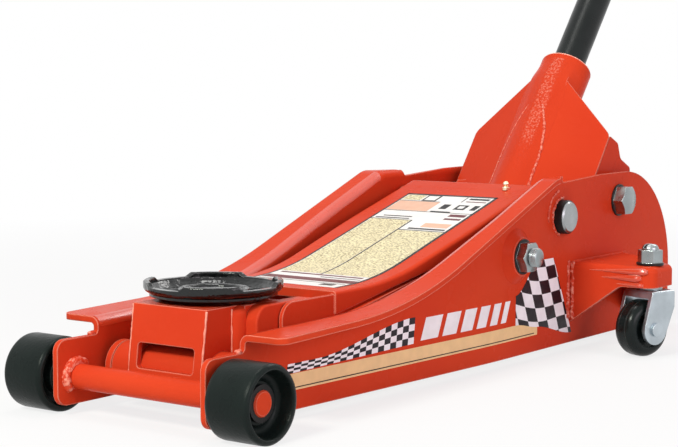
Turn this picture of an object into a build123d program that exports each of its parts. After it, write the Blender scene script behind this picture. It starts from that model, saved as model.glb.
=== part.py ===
from build123d import *
from math import atan, cos, degrees, radians, sin, sqrt
import os

os.makedirs("parts", exist_ok=True)

# Low service floor jack. Millimetres, +Z up, the lifting end towards -X.
# Drawn with x = 0 at the front axle, then moved so that the whole is centred.

# Wheels and frame
FRONT_WHEEL_RADIUS = 30.0
FRONT_WHEEL_WIDTH = 40.0
WIDTH_OVER_FRONT_WHEELS = 248.0
AXLE_RADIUS = 10.0
PLATE = 5.0
FRONT_HALF_WIDTH = 78.0
REAR_HALF_WIDTH = 93.0
FLARE_START = 40.0
FLARE_END = 355.0
FRAME_BOTTOM = 8.0
FRAME_REAR = 718.0
FRAME_TOP = 168.5
EAR_FRONT = -20.0
EAR_TOP = 60.0
FLANGE_FRONT = 25.0
FLANGE_REAR = 482.0
FLANGE_POINT = 446.0
FLANGE_TIP = 114.0

# Lifting linkage: two equal parallel links, so the head stays level
ARM_PIVOT = (481.0, 131.0)
HEAD_PIVOT = (131.0, 64.4)
LINK_ANCHOR = (396.0, 100.6)
LINK_FRONT = (
    HEAD_PIVOT[0] + LINK_ANCHOR[0] - ARM_PIVOT[0],
    HEAD_PIVOT[1] + LINK_ANCHOR[1] - ARM_PIVOT[1],
)
ARM_PIN_RADIUS = 15.0
HEAD_PIN_RADIUS = 12.0
LINK_PIN_RADIUS = 10.0
LINK_BOLT_RADIUS = 8.0
LINK_INNER = 61.0
LINK_THICK = 6.0
ARM_INNER = 28.0
ARM_THICK = 10.0
CHEEK_INNER = 44.0
CHEEK_THICK = 12.0
ARM_EAR_INNER = 57.2
ARM_EAR_OUTER = 60.5

# Lifting crank and ram
CRANK_RADIUS = 60.0
CRANK_REST = 33.0
RAM_RADIUS = 17.0
RAM_HEIGHT = 76.0

# Saddle
SADDLE_X = 80.6
SADDLE_RADIUS = 55.6
SADDLE_BASE = 88.3
SADDLE_TOP = 103.6
SADDLE_NECK = 15.0
SEAT_TOP = 88.0

# Handle and its socket
SOCKET_PIVOT = (599.0, 140.0)
SOCKET_BOLT_RADIUS = 9.0
HANDLE_ANGLE = 51.0
HANDLE_POINT = (664.0, 280.0)
HANDLE_RADIUS = 17.0
HANDLE_BORE = 14.0
HANDLE_REACH = 1000.0
COLLAR_RADIUS = 27.0

# Casters
CASTER_STEM = (523.0, 165.5)
CASTER_STEM_RADIUS = 8.0
CASTER_RADIUS = 27.0
CASTER_WIDTH = 24.0
CASTER_TRAIL = 10.0
CASTER_TURN = 18.0
FORK_TOP = 63.0
BRACKET_TOP = 86.0

# Fits
RUNNING = 0.06
SNUG = 0.03

# The middle of the length, from the front wheels to the end of the grip
GRIP_RADIUS = 20.0
handle_along = (cos(radians(HANDLE_ANGLE)), sin(radians(HANDLE_ANGLE)))
grip_end = HANDLE_POINT[0] + (HANDLE_REACH + 5) * handle_along[0] + GRIP_RADIUS * handle_along[1]
X_MIDDLE = (grip_end - FRONT_WHEEL_RADIUS) / 2


# Drawing helpers

def block(x0, x1, y0, y1, z0, z1):
    return Pos((x0 + x1) / 2, (y0 + y1) / 2, (z0 + z1) / 2) * Box(x1 - x0, y1 - y0, z1 - z0)


def rod(spot, radius, y0, y1):
    return Pos(spot[0], (y0 + y1) / 2, spot[1]) * Rot(90, 0, 0) * Cylinder(radius, y1 - y0)


def bar(y, z, radius, x0, x1):
    return Pos((x0 + x1) / 2, y, z) * Rot(0, 90, 0) * Cylinder(radius, x1 - x0)


def post(x, y, radius, z0, z1):
    return Pos(x, y, (z0 + z1) / 2) * Cylinder(radius, z1 - z0)


def outline(*corners):
    """A closed outline of (across, up, corner radius)."""
    shape = Polygon(*[(c[0], c[1]) for c in corners], align=None)
    for across, up, radius in corners:
        if radius:
            near = shape.vertices().sort_by_distance((across, up, 0))[0]
            shape = fillet(near, radius)
    return shape


def slab(sketch, y0, y1):
    """A sketch of the side view, made solid from y0 to y1."""
    side = Plane((0, y0, 0), x_dir=(1, 0, 0), z_dir=(0, -1, 0))
    return extrude(side * sketch, amount=y1 - y0, dir=(0, 1, 0))


def column(sketch, z0, z1):
    """A sketch of the top view, made solid from z0 to z1."""
    return extrude(Pos(0, 0, z0) * sketch, amount=z1 - z0, dir=(0, 0, 1))


def bone(first, first_radius, second, second_radius):
    """Two round ends joined by their tangents."""
    ends = Pos(*first) * Circle(first_radius) + Pos(*second) * Circle(second_radius)
    return make_hull(ends.edges())


def hexagon(spot, across_flats, y0, y1):
    flat = RegularPolygon(across_flats / 2, 6, major_radius=False)
    return slab(Pos(*spot) * flat, y0, y1)


def other_side(shape):
    return mirror(shape, Plane.XZ)


def both(shape):
    return [shape, other_side(shape)]


def save(name, *shapes):
    solids = []
    for shape in shapes:
        solids.extend((Pos(-X_MIDDLE, 0, 0) * shape).solids())
    whole = solids[0] if len(solids) == 1 else Compound(solids)
    export_step(whole, f"parts/{name}.step")


# Side plates with their flanges bent outwards

FLANGE_LOW = 73.5
FLANGE_HIGH = 170.0
NOTCH_LOW = 163.5
BEND = (200.4, 77.8)
CREST = (441.0, FLANGE_HIGH)
BEND_RADIUS = 480.0
CREST_RADIUS = 40.0


def face_line(inset):
    """The plate's face in the top view, straight, flared, then straight."""
    return FilletPolyline(
        (-60, FRONT_HALF_WIDTH - inset),
        (FLARE_START, FRONT_HALF_WIDTH - inset),
        (FLARE_END, REAR_HALF_WIDTH - inset),
        (760, REAR_HALF_WIDTH - inset),
        radius=900,
    )


def face_offset(x):
    share = min(max((x - FLARE_START) / (FLARE_END - FLARE_START), 0), 1)
    return FRONT_HALF_WIDTH + share * (REAR_HALF_WIDTH - FRONT_HALF_WIDTH)


def side_plate():
    web = slab(
        outline(
            (EAR_FRONT, FRAME_BOTTOM, 10),
            (EAR_FRONT, EAR_TOP, 9),
            (FLANGE_FRONT, EAR_TOP, 4),
            (FLANGE_FRONT, FLANGE_LOW, 0),
            (*BEND, BEND_RADIUS),
            (*CREST, CREST_RADIUS),
            (FLANGE_REAR, FLANGE_HIGH, 0),
            (FLANGE_REAR, NOTCH_LOW, 2),
            (FLANGE_REAR + 80, FRAME_TOP - 0.7, 0),
            (FRAME_REAR, FRAME_TOP, 104),
            (FRAME_REAR, FRAME_BOTTOM, 25),
        ),
        60,
        130,
    )
    outer = face_line(0)
    inner = face_line(PLATE)
    ends = [Line(outer @ 0, inner @ 0), Line(outer @ 1, inner @ 1)]
    web = web & column(make_face([*outer.edges(), *inner.edges(), *ends]), 0, 200)
    flange = slab(
        outline(
            (FLANGE_FRONT, FLANGE_LOW, 0),
            (*BEND, BEND_RADIUS),
            (*CREST, CREST_RADIUS),
            (FLANGE_REAR, FLANGE_HIGH, 0),
            (FLANGE_REAR, FLANGE_HIGH - PLATE, 0),
            (CREST[0], CREST[1] - PLATE, CREST_RADIUS),
            (BEND[0], BEND[1] - PLATE, BEND_RADIUS),
            (FLANGE_FRONT, FLANGE_LOW - PLATE, 0),
        ),
        60,
        130,
    )
    reach = outline(
        (FLANGE_FRONT, FRONT_HALF_WIDTH - PLATE / 2, 0),
        (FLARE_START, FRONT_HALF_WIDTH - PLATE / 2, 0),
        (FLARE_END, REAR_HALF_WIDTH - PLATE / 2, 0),
        (FLANGE_REAR, REAR_HALF_WIDTH - PLATE / 2, 0),
        (FLANGE_POINT, FLANGE_TIP - 3, 4),
        (FLANGE_FRONT, FLANGE_TIP, 9),
    )
    plate = web + (flange & column(reach, 0, 200))
    crown = []
    hollow = []
    for edge in plate.edges():
        middle = edge.center()
        if edge.length < 8 or not FLANGE_FRONT < middle.X < FLANGE_REAR:
            continue
        if middle.Z < FLANGE_LOW - PLATE - 1:
            continue
        off = middle.Y - face_offset(middle.X)
        if abs(off + PLATE) < 0.6 and middle.Z < FLANGE_HIGH + 1:
            crown.append(edge)
        if abs(off) < 0.6:
            hollow.append(edge)
    plate = fillet(crown, 8)
    hollow = [e for e in plate.edges() if any(e.center() == h.center() for h in hollow)]
    plate = fillet(hollow, 3)
    for spot, radius in (
        ((0, FRONT_WHEEL_RADIUS), AXLE_RADIUS),
        (ARM_PIVOT, ARM_PIN_RADIUS),
        (LINK_ANCHOR, LINK_BOLT_RADIUS),
        (SOCKET_PIVOT, SOCKET_BOLT_RADIUS),
    ):
        plate -= rod(spot, radius + SNUG, 60, 130)
    return plate


left_plate = side_plate()
save("left_side_plate", left_plate)
save("right_side_plate", other_side(left_plate))


# Front axle, its spacers and clips, and the front wheels

wheel_outer = WIDTH_OVER_FRONT_WHEELS / 2
wheel_inner = wheel_outer - FRONT_WHEEL_WIDTH
axle_spot = (0, FRONT_WHEEL_RADIUS)
hub_outer = wheel_outer - 12
axle_end = hub_outer + 4

axle = rod(axle_spot, AXLE_RADIUS, -axle_end, axle_end)
axle = chamfer(axle.edges().filter_by(GeomType.CIRCLE), 1.2)
save("front_axle", axle)

spacer = rod(axle_spot, 15, FRONT_HALF_WIDTH, wheel_inner - 0.4)
spacer -= rod(axle_spot, AXLE_RADIUS + SNUG, 60, 130)

clip = rod(axle_spot, 14, hub_outer + 0.4, hub_outer + 2.4)
clip -= rod(axle_spot, AXLE_RADIUS + SNUG, 60, 130)
save("axle_rings", *both(spacer), *both(clip))


def front_wheel():
    wheel = rod(axle_spot, FRONT_WHEEL_RADIUS, wheel_inner, wheel_outer)
    rims = wheel.edges().filter_by(GeomType.CIRCLE)
    wheel = fillet(rims, 3)
    dish = rod(axle_spot, 24.5, wheel_outer - 14, wheel_outer)
    dish -= rod(axle_spot, 16.5, wheel_outer - 14, hub_outer)
    wheel -= dish
    back = rod(axle_spot, 24.5, wheel_inner, wheel_inner + 9)
    back -= rod(axle_spot, 16.5, wheel_inner, wheel_inner + 9)
    wheel -= back
    return wheel - rod(axle_spot, AXLE_RADIUS + RUNNING, 60, 130)


left_wheel = front_wheel()
save("left_front_wheel", left_wheel)
save("right_front_wheel", other_side(left_wheel))


# Arm pivot shaft, and the raised rings welded on the plates round the anchor bolts

shaft_end = REAR_HALF_WIDTH + 10
shaft = rod(ARM_PIVOT, ARM_PIN_RADIUS, -shaft_end, shaft_end)
shaft = chamfer(shaft.edges().filter_by(GeomType.CIRCLE), 1.5)
save("arm_pivot_shaft", shaft)

anchor_ring = rod(LINK_ANCHOR, 17.5, REAR_HALF_WIDTH, REAR_HALF_WIDTH + 8)
anchor_ring = fillet(anchor_ring.edges().group_by(Axis.Y)[-1], 2)
anchor_ring -= rod(LINK_ANCHOR, LINK_BOLT_RADIUS + SNUG, 60, 130)
save("boss_rings", *both(anchor_ring))


# Anchor bolts of the levelling links

link_outer = LINK_INNER + LINK_THICK
nut_face = REAR_HALF_WIDTH + 8
anchor_bolt = rod(LINK_ANCHOR, LINK_BOLT_RADIUS, LINK_INNER - 0.4, nut_face + 16)
anchor_bolt = chamfer(anchor_bolt.edges().group_by(Axis.Y)[-1], 1.5)
anchor_bolt += hexagon(LINK_ANCHOR, 24, LINK_INNER - 8.4, LINK_INNER - 0.4)
save("link_anchor_bolts", *both(anchor_bolt))

anchor_nut = hexagon(LINK_ANCHOR, 26, nut_face, nut_face + 12)
anchor_nut = fillet(anchor_nut.edges().filter_by(Axis.Y), 1)
anchor_nut -= rod(LINK_ANCHOR, LINK_BOLT_RADIUS + SNUG, 60, 130)
save("link_anchor_nuts", *both(anchor_nut))

anchor_spacer = rod(LINK_ANCHOR, 13, link_outer + 0.4, REAR_HALF_WIDTH - PLATE)
anchor_spacer -= rod(LINK_ANCHOR, LINK_BOLT_RADIUS + SNUG, 60, 130)
save("link_anchor_spacers", *both(anchor_spacer))


# Bolts on which the handle socket swings

EAR_INNER = 72.0
EAR_OUTER = 79.0

socket_bolt = rod(SOCKET_PIVOT, SOCKET_BOLT_RADIUS, EAR_INNER - 9, REAR_HALF_WIDTH + 4)
socket_bolt += rod(SOCKET_PIVOT, 16, REAR_HALF_WIDTH, REAR_HALF_WIDTH + 2)
head = hexagon(SOCKET_PIVOT, 27, REAR_HALF_WIDTH + 2, REAR_HALF_WIDTH + 13)
socket_bolt += fillet(head.edges().filter_by(Axis.Y), 1)
socket_bolt += hexagon(SOCKET_PIVOT, 26, EAR_INNER - 9, EAR_INNER - 0.4)
save("socket_pivot_bolts", *both(socket_bolt))


# Caster brackets: hollow wings that narrow from the side plate to the stem

BRACKET_REAR = 618.0
BRACKET_KNEE = 145.0
BRACKET_FOOT = 28.0
BRACKET_LOW = FORK_TOP + 3


def bracket_plan(inset):
    front = CASTER_STEM[0] - 23 + inset
    rear = CASTER_STEM[0] + 21 - 1.3 * inset
    tip = CASTER_STEM[1] + 14 - inset
    return outline(
        (front, REAR_HALF_WIDTH, 0),
        (front, tip, 12 - inset),
        (rear, tip, 8 - inset),
        (BRACKET_REAR - 1.3 * inset, REAR_HALF_WIDTH, 0),
    )


def caster_bracket():
    wing = outline(
        (REAR_HALF_WIDTH, BRACKET_FOOT, 0),
        (REAR_HALF_WIDTH, BRACKET_TOP, 0),
        (CASTER_STEM[1] + 30, BRACKET_TOP, 0),
        (CASTER_STEM[1] + 30, BRACKET_LOW, 0),
        (BRACKET_KNEE, BRACKET_LOW, 14),
    )
    across = Plane((400, 0, 0), x_dir=(0, 1, 0), z_dir=(1, 0, 0))
    bracket = extrude(across * wing, amount=300, dir=(1, 0, 0))
    bracket = bracket & column(bracket_plan(0), 0, 200)
    bends = bracket.faces().sort_by(Axis.Z)[-1].edges()
    bends = [e for e in bends if e.center().Y > REAR_HALF_WIDTH + 1]
    bracket = fillet(bends, 6)
    hollow = column(bracket_plan(PLATE), 0, BRACKET_TOP - 6)
    bracket -= hollow & block(400, 700, 0, CASTER_STEM[1] - 13, 0, 200)
    return bracket - post(*CASTER_STEM, CASTER_STEM_RADIUS + RUNNING, 0, 120)


left_bracket = caster_bracket()
save("left_caster_bracket", left_bracket)
save("right_caster_bracket", other_side(left_bracket))


# Casters, drawn about the stem with the wheel trailing towards the front

axle_place = (-CASTER_TRAIL, CASTER_RADIUS)
CASTER_PIN_RADIUS = 5.0
FORK_WIDTH = 29.0
FORK_INNER = 14.6
FORK_OUTER = 18.6
CROWN_LOW = 2 * CASTER_RADIUS + 2


def place_caster(shape):
    return Pos(*CASTER_STEM, 0) * Rot(0, 0, CASTER_TURN) * shape


def caster_fork():
    foot = Pos(*axle_place) * Circle(FORK_WIDTH / 2)
    top = Pos(0, FORK_TOP - 8) * Rectangle(FORK_WIDTH, 16)
    legs = slab(make_hull((foot + top).edges()), -FORK_OUTER, FORK_OUTER)
    legs -= block(-60, 60, -FORK_INNER, FORK_INNER, 0, CROWN_LOW)
    crown = legs.faces().sort_by(Axis.Z)[-1].edges().filter_by(Axis.X)
    legs = fillet(crown, 3)
    legs -= rod(axle_place, CASTER_PIN_RADIUS + SNUG, -40, 40)
    return legs - post(0, 0, CASTER_STEM_RADIUS + SNUG, 50, 70)


def caster_stem():
    end = BRACKET_TOP + 20
    washer_top = BRACKET_TOP + 2.4
    stem = post(0, 0, CASTER_STEM_RADIUS, CROWN_LOW, end)
    stem = fillet(stem.edges().group_by(Axis.Z)[-1], 5)
    stem -= block(-10, 10, -1.5, 1.5, end - 4, end + 1)
    stem += post(0, 0, 12, FORK_TOP, BRACKET_LOW - 0.4)
    stem += post(0, 0, 12, BRACKET_TOP + 0.4, washer_top)
    nut = column(RegularPolygon(10.5, 6, major_radius=False), washer_top, washer_top + 12)
    return stem + fillet(nut.edges().filter_by(Axis.Z), 1)


def caster_axle():
    wheel_face = CASTER_WIDTH / 2 + 0.4
    pin = rod(axle_place, CASTER_PIN_RADIUS, -FORK_OUTER, FORK_OUTER)
    for radius, y0, y1 in ((6.5, FORK_OUTER, FORK_OUTER + 2.5), (7.5, wheel_face, FORK_INNER)):
        pin += rod(axle_place, radius, y0, y1) + rod(axle_place, radius, -y1, -y0)
    return pin


def caster_wheel():
    half = CASTER_WIDTH / 2
    wheel = rod(axle_place, CASTER_RADIUS, -half, half)
    wheel = fillet(wheel.edges().filter_by(GeomType.CIRCLE), 7)
    for y0, y1 in ((half - 3, half), (-half, 3 - half)):
        wheel -= rod(axle_place, 17.5, y0, y1) - rod(axle_place, 9, y0, y1)
    return wheel - rod(axle_place, CASTER_PIN_RADIUS + RUNNING, -half, half)


for piece, make in (
    ("caster_fork", caster_fork),
    ("caster_stem", caster_stem),
    ("caster_axle", caster_axle),
    ("caster_wheel", caster_wheel),
):
    placed = place_caster(make())
    save("left_" + piece, placed)
    save("right_" + piece, other_side(placed))


# Arm: hub, side plates, top cover, crank and pins

COVER_FRONT = (160.0, 90.5)
COVER_BEND = (232.8, 91.8)
COVER_REAR = (461.0, 157.5)
COVER_THICK = 4.0
COVER_LIP = 8.0
COVER_FRONT_HALF = 62.0
COVER_REAR_HALF = 72.0
ARM_HUB_RADIUS = 23.0
ARM_EAR_FRONT = 92.0
LINK_HALF = 13.0


def cover_band(depth):
    """The side view of the cover, this deep below its top face."""
    return outline(
        (*COVER_FRONT, 0),
        (*COVER_BEND, 310),
        (*COVER_REAR, 0),
        (COVER_REAR[0], COVER_REAR[1] - depth, 0),
        (COVER_BEND[0], COVER_BEND[1] - depth, 310),
        (COVER_FRONT[0], COVER_FRONT[1] - depth, 0),
    )


def cover_plan(inset):
    front = COVER_FRONT_HALF - inset
    rear = COVER_REAR_HALF - inset
    return outline(
        (COVER_FRONT[0], -front, 0),
        (FLARE_END, -rear, 900),
        (COVER_REAR[0], -rear, 0),
        (COVER_REAR[0], rear, 0),
        (FLARE_END, rear, 900),
        (COVER_FRONT[0], front, 0),
    )


def above_link(x):
    """The height just clear of a levelling link's upper edge."""
    rise = (LINK_ANCHOR[1] - LINK_FRONT[1]) / (LINK_ANCHOR[0] - LINK_FRONT[0])
    return LINK_FRONT[1] + (x - LINK_FRONT[0]) * rise + LINK_HALF + 2.9


def cover_sides():
    """The lips folded down along both sides, as far as the links allow."""
    lips = slab(
        outline(
            (*COVER_FRONT, 0),
            (*COVER_BEND, 310),
            (*COVER_REAR, 0),
            (COVER_REAR[0], above_link(COVER_REAR[0]), 0),
            (COVER_FRONT[0], above_link(COVER_FRONT[0]), 0),
        ),
        -90,
        90,
    )
    return lips - column(cover_plan(COVER_THICK), 0, 200)


def arm_ear():
    """The plate beside the head cheek that holds the end of the head pin."""
    top = COVER_FRONT[1] - COVER_THICK + 1.5
    side = outline(
        (ARM_EAR_FRONT, 50, 12),
        (ARM_EAR_FRONT, top, 14),
        (COVER_BEND[0], top, 0),
        (COVER_BEND[0], top - 8, 0),
        (HEAD_PIVOT[0] + 20, 46, 12),
    )
    ear = slab(side, ARM_EAR_INNER, ARM_EAR_OUTER)
    return ear - rod(HEAD_PIVOT, HEAD_PIN_RADIUS + SNUG, 0, ARM_EAR_INNER + 1.8)


def arm_cover():
    top = slab(cover_band(COVER_THICK), -90, 90)
    front = slab(cover_band(COVER_LIP), -90, 90)
    front = front & block(0, COVER_FRONT[0] + COVER_THICK, -90, 90, 0, 200)
    cover = (top + front + cover_sides()) & column(cover_plan(0), 0, 200)
    ridge = []
    for edge in cover.edges():
        middle = edge.center()
        high = middle.Z > COVER_FRONT[1] - 2.5
        if edge.length > 20 and high and abs(middle.Y) > COVER_FRONT_HALF - 0.5:
            ridge.append(edge)
    tops = slab(cover_band(0.8), -90, 90)
    ridge = [e for e in ridge if tops.is_inside(e.center() - Vector(0, 0, 0.3))]
    cover = fillet(ridge, 3)
    for ear in both(arm_ear()):
        cover += ear
    return cover - rod(ARM_PIVOT, ARM_HUB_RADIUS + SNUG, -90, 90)


def under_cover():
    """Everything below the underside of the cover."""
    return slab(
        outline(
            (60, COVER_FRONT[1] - COVER_THICK - 0.4, 0),
            (COVER_FRONT[0], COVER_FRONT[1] - COVER_THICK, 0),
            (COVER_BEND[0], COVER_BEND[1] - COVER_THICK, 310),
            (COVER_REAR[0], COVER_REAR[1] - COVER_THICK, 0),
            (COVER_REAR[0] + 60, COVER_REAR[1] + 20, 0),
            (COVER_REAR[0] + 60, 0, 0),
            (60, 0, 0),
        ),
        0,
        90,
    )


def arm_plate():
    plate = slab(bone(ARM_PIVOT, 27, HEAD_PIVOT, 20), ARM_INNER, ARM_INNER + ARM_THICK)
    plate = plate & under_cover()
    lip_low = COVER_FRONT[1] - COVER_LIP
    plate -= block(0, COVER_FRONT[0] + COVER_THICK, 0, 90, lip_low, 200)
    plate -= rod(ARM_PIVOT, ARM_HUB_RADIUS + SNUG, 0, 90)
    return plate - rod(HEAD_PIVOT, HEAD_PIN_RADIUS + SNUG, 0, 90)


save("arm_cover", arm_cover())

left_arm = arm_plate()
save("left_arm_plate", left_arm)
save("right_arm_plate", other_side(left_arm))

hub = rod(ARM_PIVOT, ARM_HUB_RADIUS, -86, 86) - rod(ARM_PIVOT, ARM_PIN_RADIUS + RUNNING, -90, 90)
save("arm_hub", hub)

crank_spot = (
    ARM_PIVOT[0] + CRANK_RADIUS * sin(radians(CRANK_REST)),
    ARM_PIVOT[1] - CRANK_RADIUS * cos(radians(CRANK_REST)),
)
CRANK_PIN_RADIUS = 9.0
crank = slab(bone(ARM_PIVOT, 28, crank_spot, 16), 13, 23)
crank -= rod(ARM_PIVOT, ARM_HUB_RADIUS + SNUG, 0, 90)
crank -= rod(crank_spot, CRANK_PIN_RADIUS + SNUG, 0, 90)
save("crank_plates", *both(crank))
save("crank_pin", rod(crank_spot, CRANK_PIN_RADIUS, -25, 25))

cheek_outer = CHEEK_INNER + CHEEK_THICK
pin_end = ARM_EAR_INNER + 1.4
save("head_pivot_pin", rod(HEAD_PIVOT, HEAD_PIN_RADIUS, -pin_end, pin_end))

pin_collar = rod(HEAD_PIVOT, 17, ARM_INNER + ARM_THICK, CHEEK_INNER - 0.4)
pin_collar -= rod(HEAD_PIVOT, HEAD_PIN_RADIUS + SNUG, 0, 90)
save("head_pin_collars", *both(pin_collar))


# Brass grease nipple at the cover's rear edge

nipple_spot = (COVER_REAR[0] - 5, -46.0)
nipple_foot = COVER_REAR[1] - 1.4
nipple = post(*nipple_spot, 3.6, nipple_foot - 0.4, nipple_foot + 2.6)
nipple += post(*nipple_spot, 2.1, nipple_foot + 2.6, nipple_foot + 5.5)
nipple += Pos(*nipple_spot, nipple_foot + 5.5) * Sphere(2.8)
nipple -= slab(cover_band(20), -90, 90)
save("grease_nipple", nipple)


# Head that carries the saddle

HEAD_FRONT = 20.5
HEAD_FOOT = 30.0
HEAD_LEAN = 0.13
HEAD_HALF = 38.0
SIDE_FOOT = 44.0
SEAT_THICK = 12.0
SEAT_REAR = 108.0
CHEEK_FRONT = 66.0
LINK_TUBE_RADIUS = 20.0


def head_face(z):
    """Where the leaning front face is at this height."""
    return HEAD_FRONT + (z - HEAD_FOOT) * HEAD_LEAN


def head_profile(depth, foot, rear):
    """The side view from this deep behind the front face."""
    return outline(
        (head_face(foot) + depth, foot, 0),
        (head_face(SEAT_TOP) + depth, SEAT_TOP, 0),
        (rear, SEAT_TOP, 0),
        (rear, foot, 0),
    )


def head_bracket():
    face = slab(head_profile(0, HEAD_FOOT, CHEEK_FRONT), -HEAD_HALF, HEAD_HALF)
    face -= slab(head_profile(PLATE, HEAD_FOOT, CHEEK_FRONT), -HEAD_HALF, HEAD_HALF)
    window = Plane((0, 0, 48), x_dir=(0, 1, 0), z_dir=(1, 0, 0))
    face -= extrude(window * RectangleRounded(58, 20, 3), amount=60, dir=(1, 0, 0))
    side = slab(head_profile(PLATE, SIDE_FOOT, CHEEK_FRONT), HEAD_HALF - PLATE, HEAD_HALF)
    side += block(CHEEK_FRONT - PLATE, CHEEK_FRONT + PLATE, HEAD_HALF - PLATE, CHEEK_INNER,
                  SIDE_FOOT, SEAT_TOP - SEAT_THICK)
    bracket = face + side + other_side(side)
    corners = []
    for edge in bracket.edges():
        middle = edge.center()
        at_front = abs(middle.X - head_face(middle.Z)) < 0.1
        if at_front and abs(middle.Y) > HEAD_HALF - 0.1:
            corners.append(edge)
    bracket = fillet(corners, 2)
    return bracket - rod(LINK_FRONT, LINK_TUBE_RADIUS + SNUG, -90, 90)


def head_cheek():
    arc = SEAT_TOP - HEAD_PIVOT[1]
    low = HEAD_PIVOT[1] - arc
    top_end = (HEAD_PIVOT[0], SEAT_TOP)
    low_end = (HEAD_PIVOT[0], low)
    side = make_face(
        [
            Line((CHEEK_FRONT, low), (CHEEK_FRONT, SEAT_TOP)),
            Line((CHEEK_FRONT, SEAT_TOP), top_end),
            ThreePointArc(top_end, (HEAD_PIVOT[0] + arc, HEAD_PIVOT[1]), low_end),
            Line(low_end, (CHEEK_FRONT, low)),
        ]
    )
    for up, radius in ((SEAT_TOP, 14), (low, 6)):
        side = fillet(side.vertices().sort_by_distance((CHEEK_FRONT, up, 0))[0], radius)
    cheek = slab(side, CHEEK_INNER, cheek_outer)
    rims = cheek.faces().sort_by(Axis.Y)[-1].edges()
    cheek = fillet(rims, 1.5)
    return cheek - rod(HEAD_PIVOT, HEAD_PIN_RADIUS + RUNNING, 0, 90)


def saddle_seat():
    low = SEAT_TOP - SEAT_THICK
    half = HEAD_HALF - PLATE
    seat = block(head_face(SEAT_TOP) + PLATE, CHEEK_FRONT, -half, half, low, SEAT_TOP)
    seat += block(CHEEK_FRONT, SEAT_REAR, -CHEEK_INNER, CHEEK_INNER, low, SEAT_TOP)
    return seat - post(SADDLE_X, 0, SADDLE_NECK + RUNNING, 0, 100)


save("head_bracket", head_bracket())
left_cheek = head_cheek()
save("left_head_cheek", left_cheek)
save("right_head_cheek", other_side(left_cheek))
save("saddle_seat", saddle_seat())

link_tube = rod(LINK_FRONT, LINK_TUBE_RADIUS, -60, 60)
link_tube -= rod(LINK_FRONT, LINK_PIN_RADIUS + SNUG, -60, 60)
save("link_cross_tube", link_tube)

link_pin = rod(LINK_FRONT, LINK_PIN_RADIUS, -link_outer - 4, link_outer + 4)
for y0, y1 in ((link_outer + 0.4, link_outer + 4), (-link_outer - 4, -link_outer - 0.4)):
    link_pin += rod(LINK_FRONT, 13, y0, y1)
save("link_front_pin", link_pin)


# Levelling links, one beside each side plate

def levelling_link():
    eyes = Pos(*LINK_FRONT) * Circle(20) + Pos(*LINK_ANCHOR) * Circle(16)
    strap = bone(LINK_FRONT, LINK_HALF, LINK_ANCHOR, LINK_HALF)
    link = slab(eyes + strap, LINK_INNER, link_outer)
    link -= rod(LINK_FRONT, LINK_PIN_RADIUS + RUNNING, 0, 90)
    return link - rod(LINK_ANCHOR, LINK_BOLT_RADIUS + RUNNING, 0, 90)


left_link = levelling_link()
save("left_levelling_link", left_link)
save("right_levelling_link", other_side(left_link))


# Saddle: a round dish with four raised lobes on its rim

LOBES = 4
LOBE_FIRST = 38.0
GAP_HALF = 17.0
GAP_RAMP = 6.0
RIM_LOW = SADDLE_TOP - 3.4
RIM_THICK = 5.0
DISH_FLOOR = 92.5


def saddle():
    half = outline(
        (0, SADDLE_BASE, 0),
        (43, SADDLE_BASE, 8),
        (SADDLE_RADIUS, 97, 4),
        (SADDLE_RADIUS, SADDLE_TOP, 1.2),
        (SADDLE_RADIUS - RIM_THICK, SADDLE_TOP, 1.2),
        (SADDLE_RADIUS - RIM_THICK, 98, 4),
        (43, DISH_FLOOR, 8),
        (0, DISH_FLOOR, 0),
    )
    side = Plane((0, 0, 0), x_dir=(1, 0, 0), z_dir=(0, -1, 0))
    dish = revolve(side * half, Axis.Z)
    gap = outline(
        (-GAP_HALF, RIM_LOW, 2),
        (GAP_HALF, RIM_LOW, 2),
        (GAP_HALF + GAP_RAMP, SADDLE_TOP + 1, 0),
        (-GAP_HALF - GAP_RAMP, SADDLE_TOP + 1, 0),
    )
    outwards = Plane((0, 0, 0), x_dir=(0, 1, 0), z_dir=(1, 0, 0))
    gap = extrude(outwards * gap, amount=SADDLE_RADIUS + 1, dir=(1, 0, 0))
    for turn in range(LOBES):
        dish -= Rot(0, 0, LOBE_FIRST + (turn + 0.5) * 360 / LOBES) * gap
    ring = post(0, 0, 28, DISH_FLOOR - 1, DISH_FLOOR + 2.5)
    dish += ring - post(0, 0, 23, DISH_FLOOR, DISH_FLOOR + 3)
    dish += post(0, 0, 14, DISH_FLOOR - 1, DISH_FLOOR + 3.5)
    dish += post(0, 0, SADDLE_NECK, SEAT_TOP - 14, SADDLE_BASE + 1)
    return Pos(SADDLE_X, 0, 0) * dish


save("saddle", saddle())

bolt_face = SEAT_TOP - 18
bolt = post(0, 0, 19, bolt_face, SEAT_TOP - 14)
bolt += column(RegularPolygon(9, 6, major_radius=False), bolt_face - 8, bolt_face)
save("saddle_bolt", Pos(SADDLE_X, 0, 0) * bolt)


# Hydraulic unit between the plates: base, block, cylinder and reservoir

inside = REAR_HALF_WIDTH - PLATE
UNIT_FRONT = 600.0
UNIT_REAR = 684.0
UNIT_TOP = 108.0
UNIT_HALF = 56.0
BASE_TOP = 18.0
FOOT_TOP = BASE_TOP + 14
CYLINDER_RADIUS = 27.0
PISTON_RADIUS = 20.0
CYLINDER_FRONT = 562.0
CYLINDER_REAR = 668.0
PUMP_SPOT = (627.0, 38.0)
VALVE_SPOT = (652.0, -36.0)
foot_spots = [(x, y) for x in (614.0, 670.0) for y in (-66.0, 66.0)]

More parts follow.
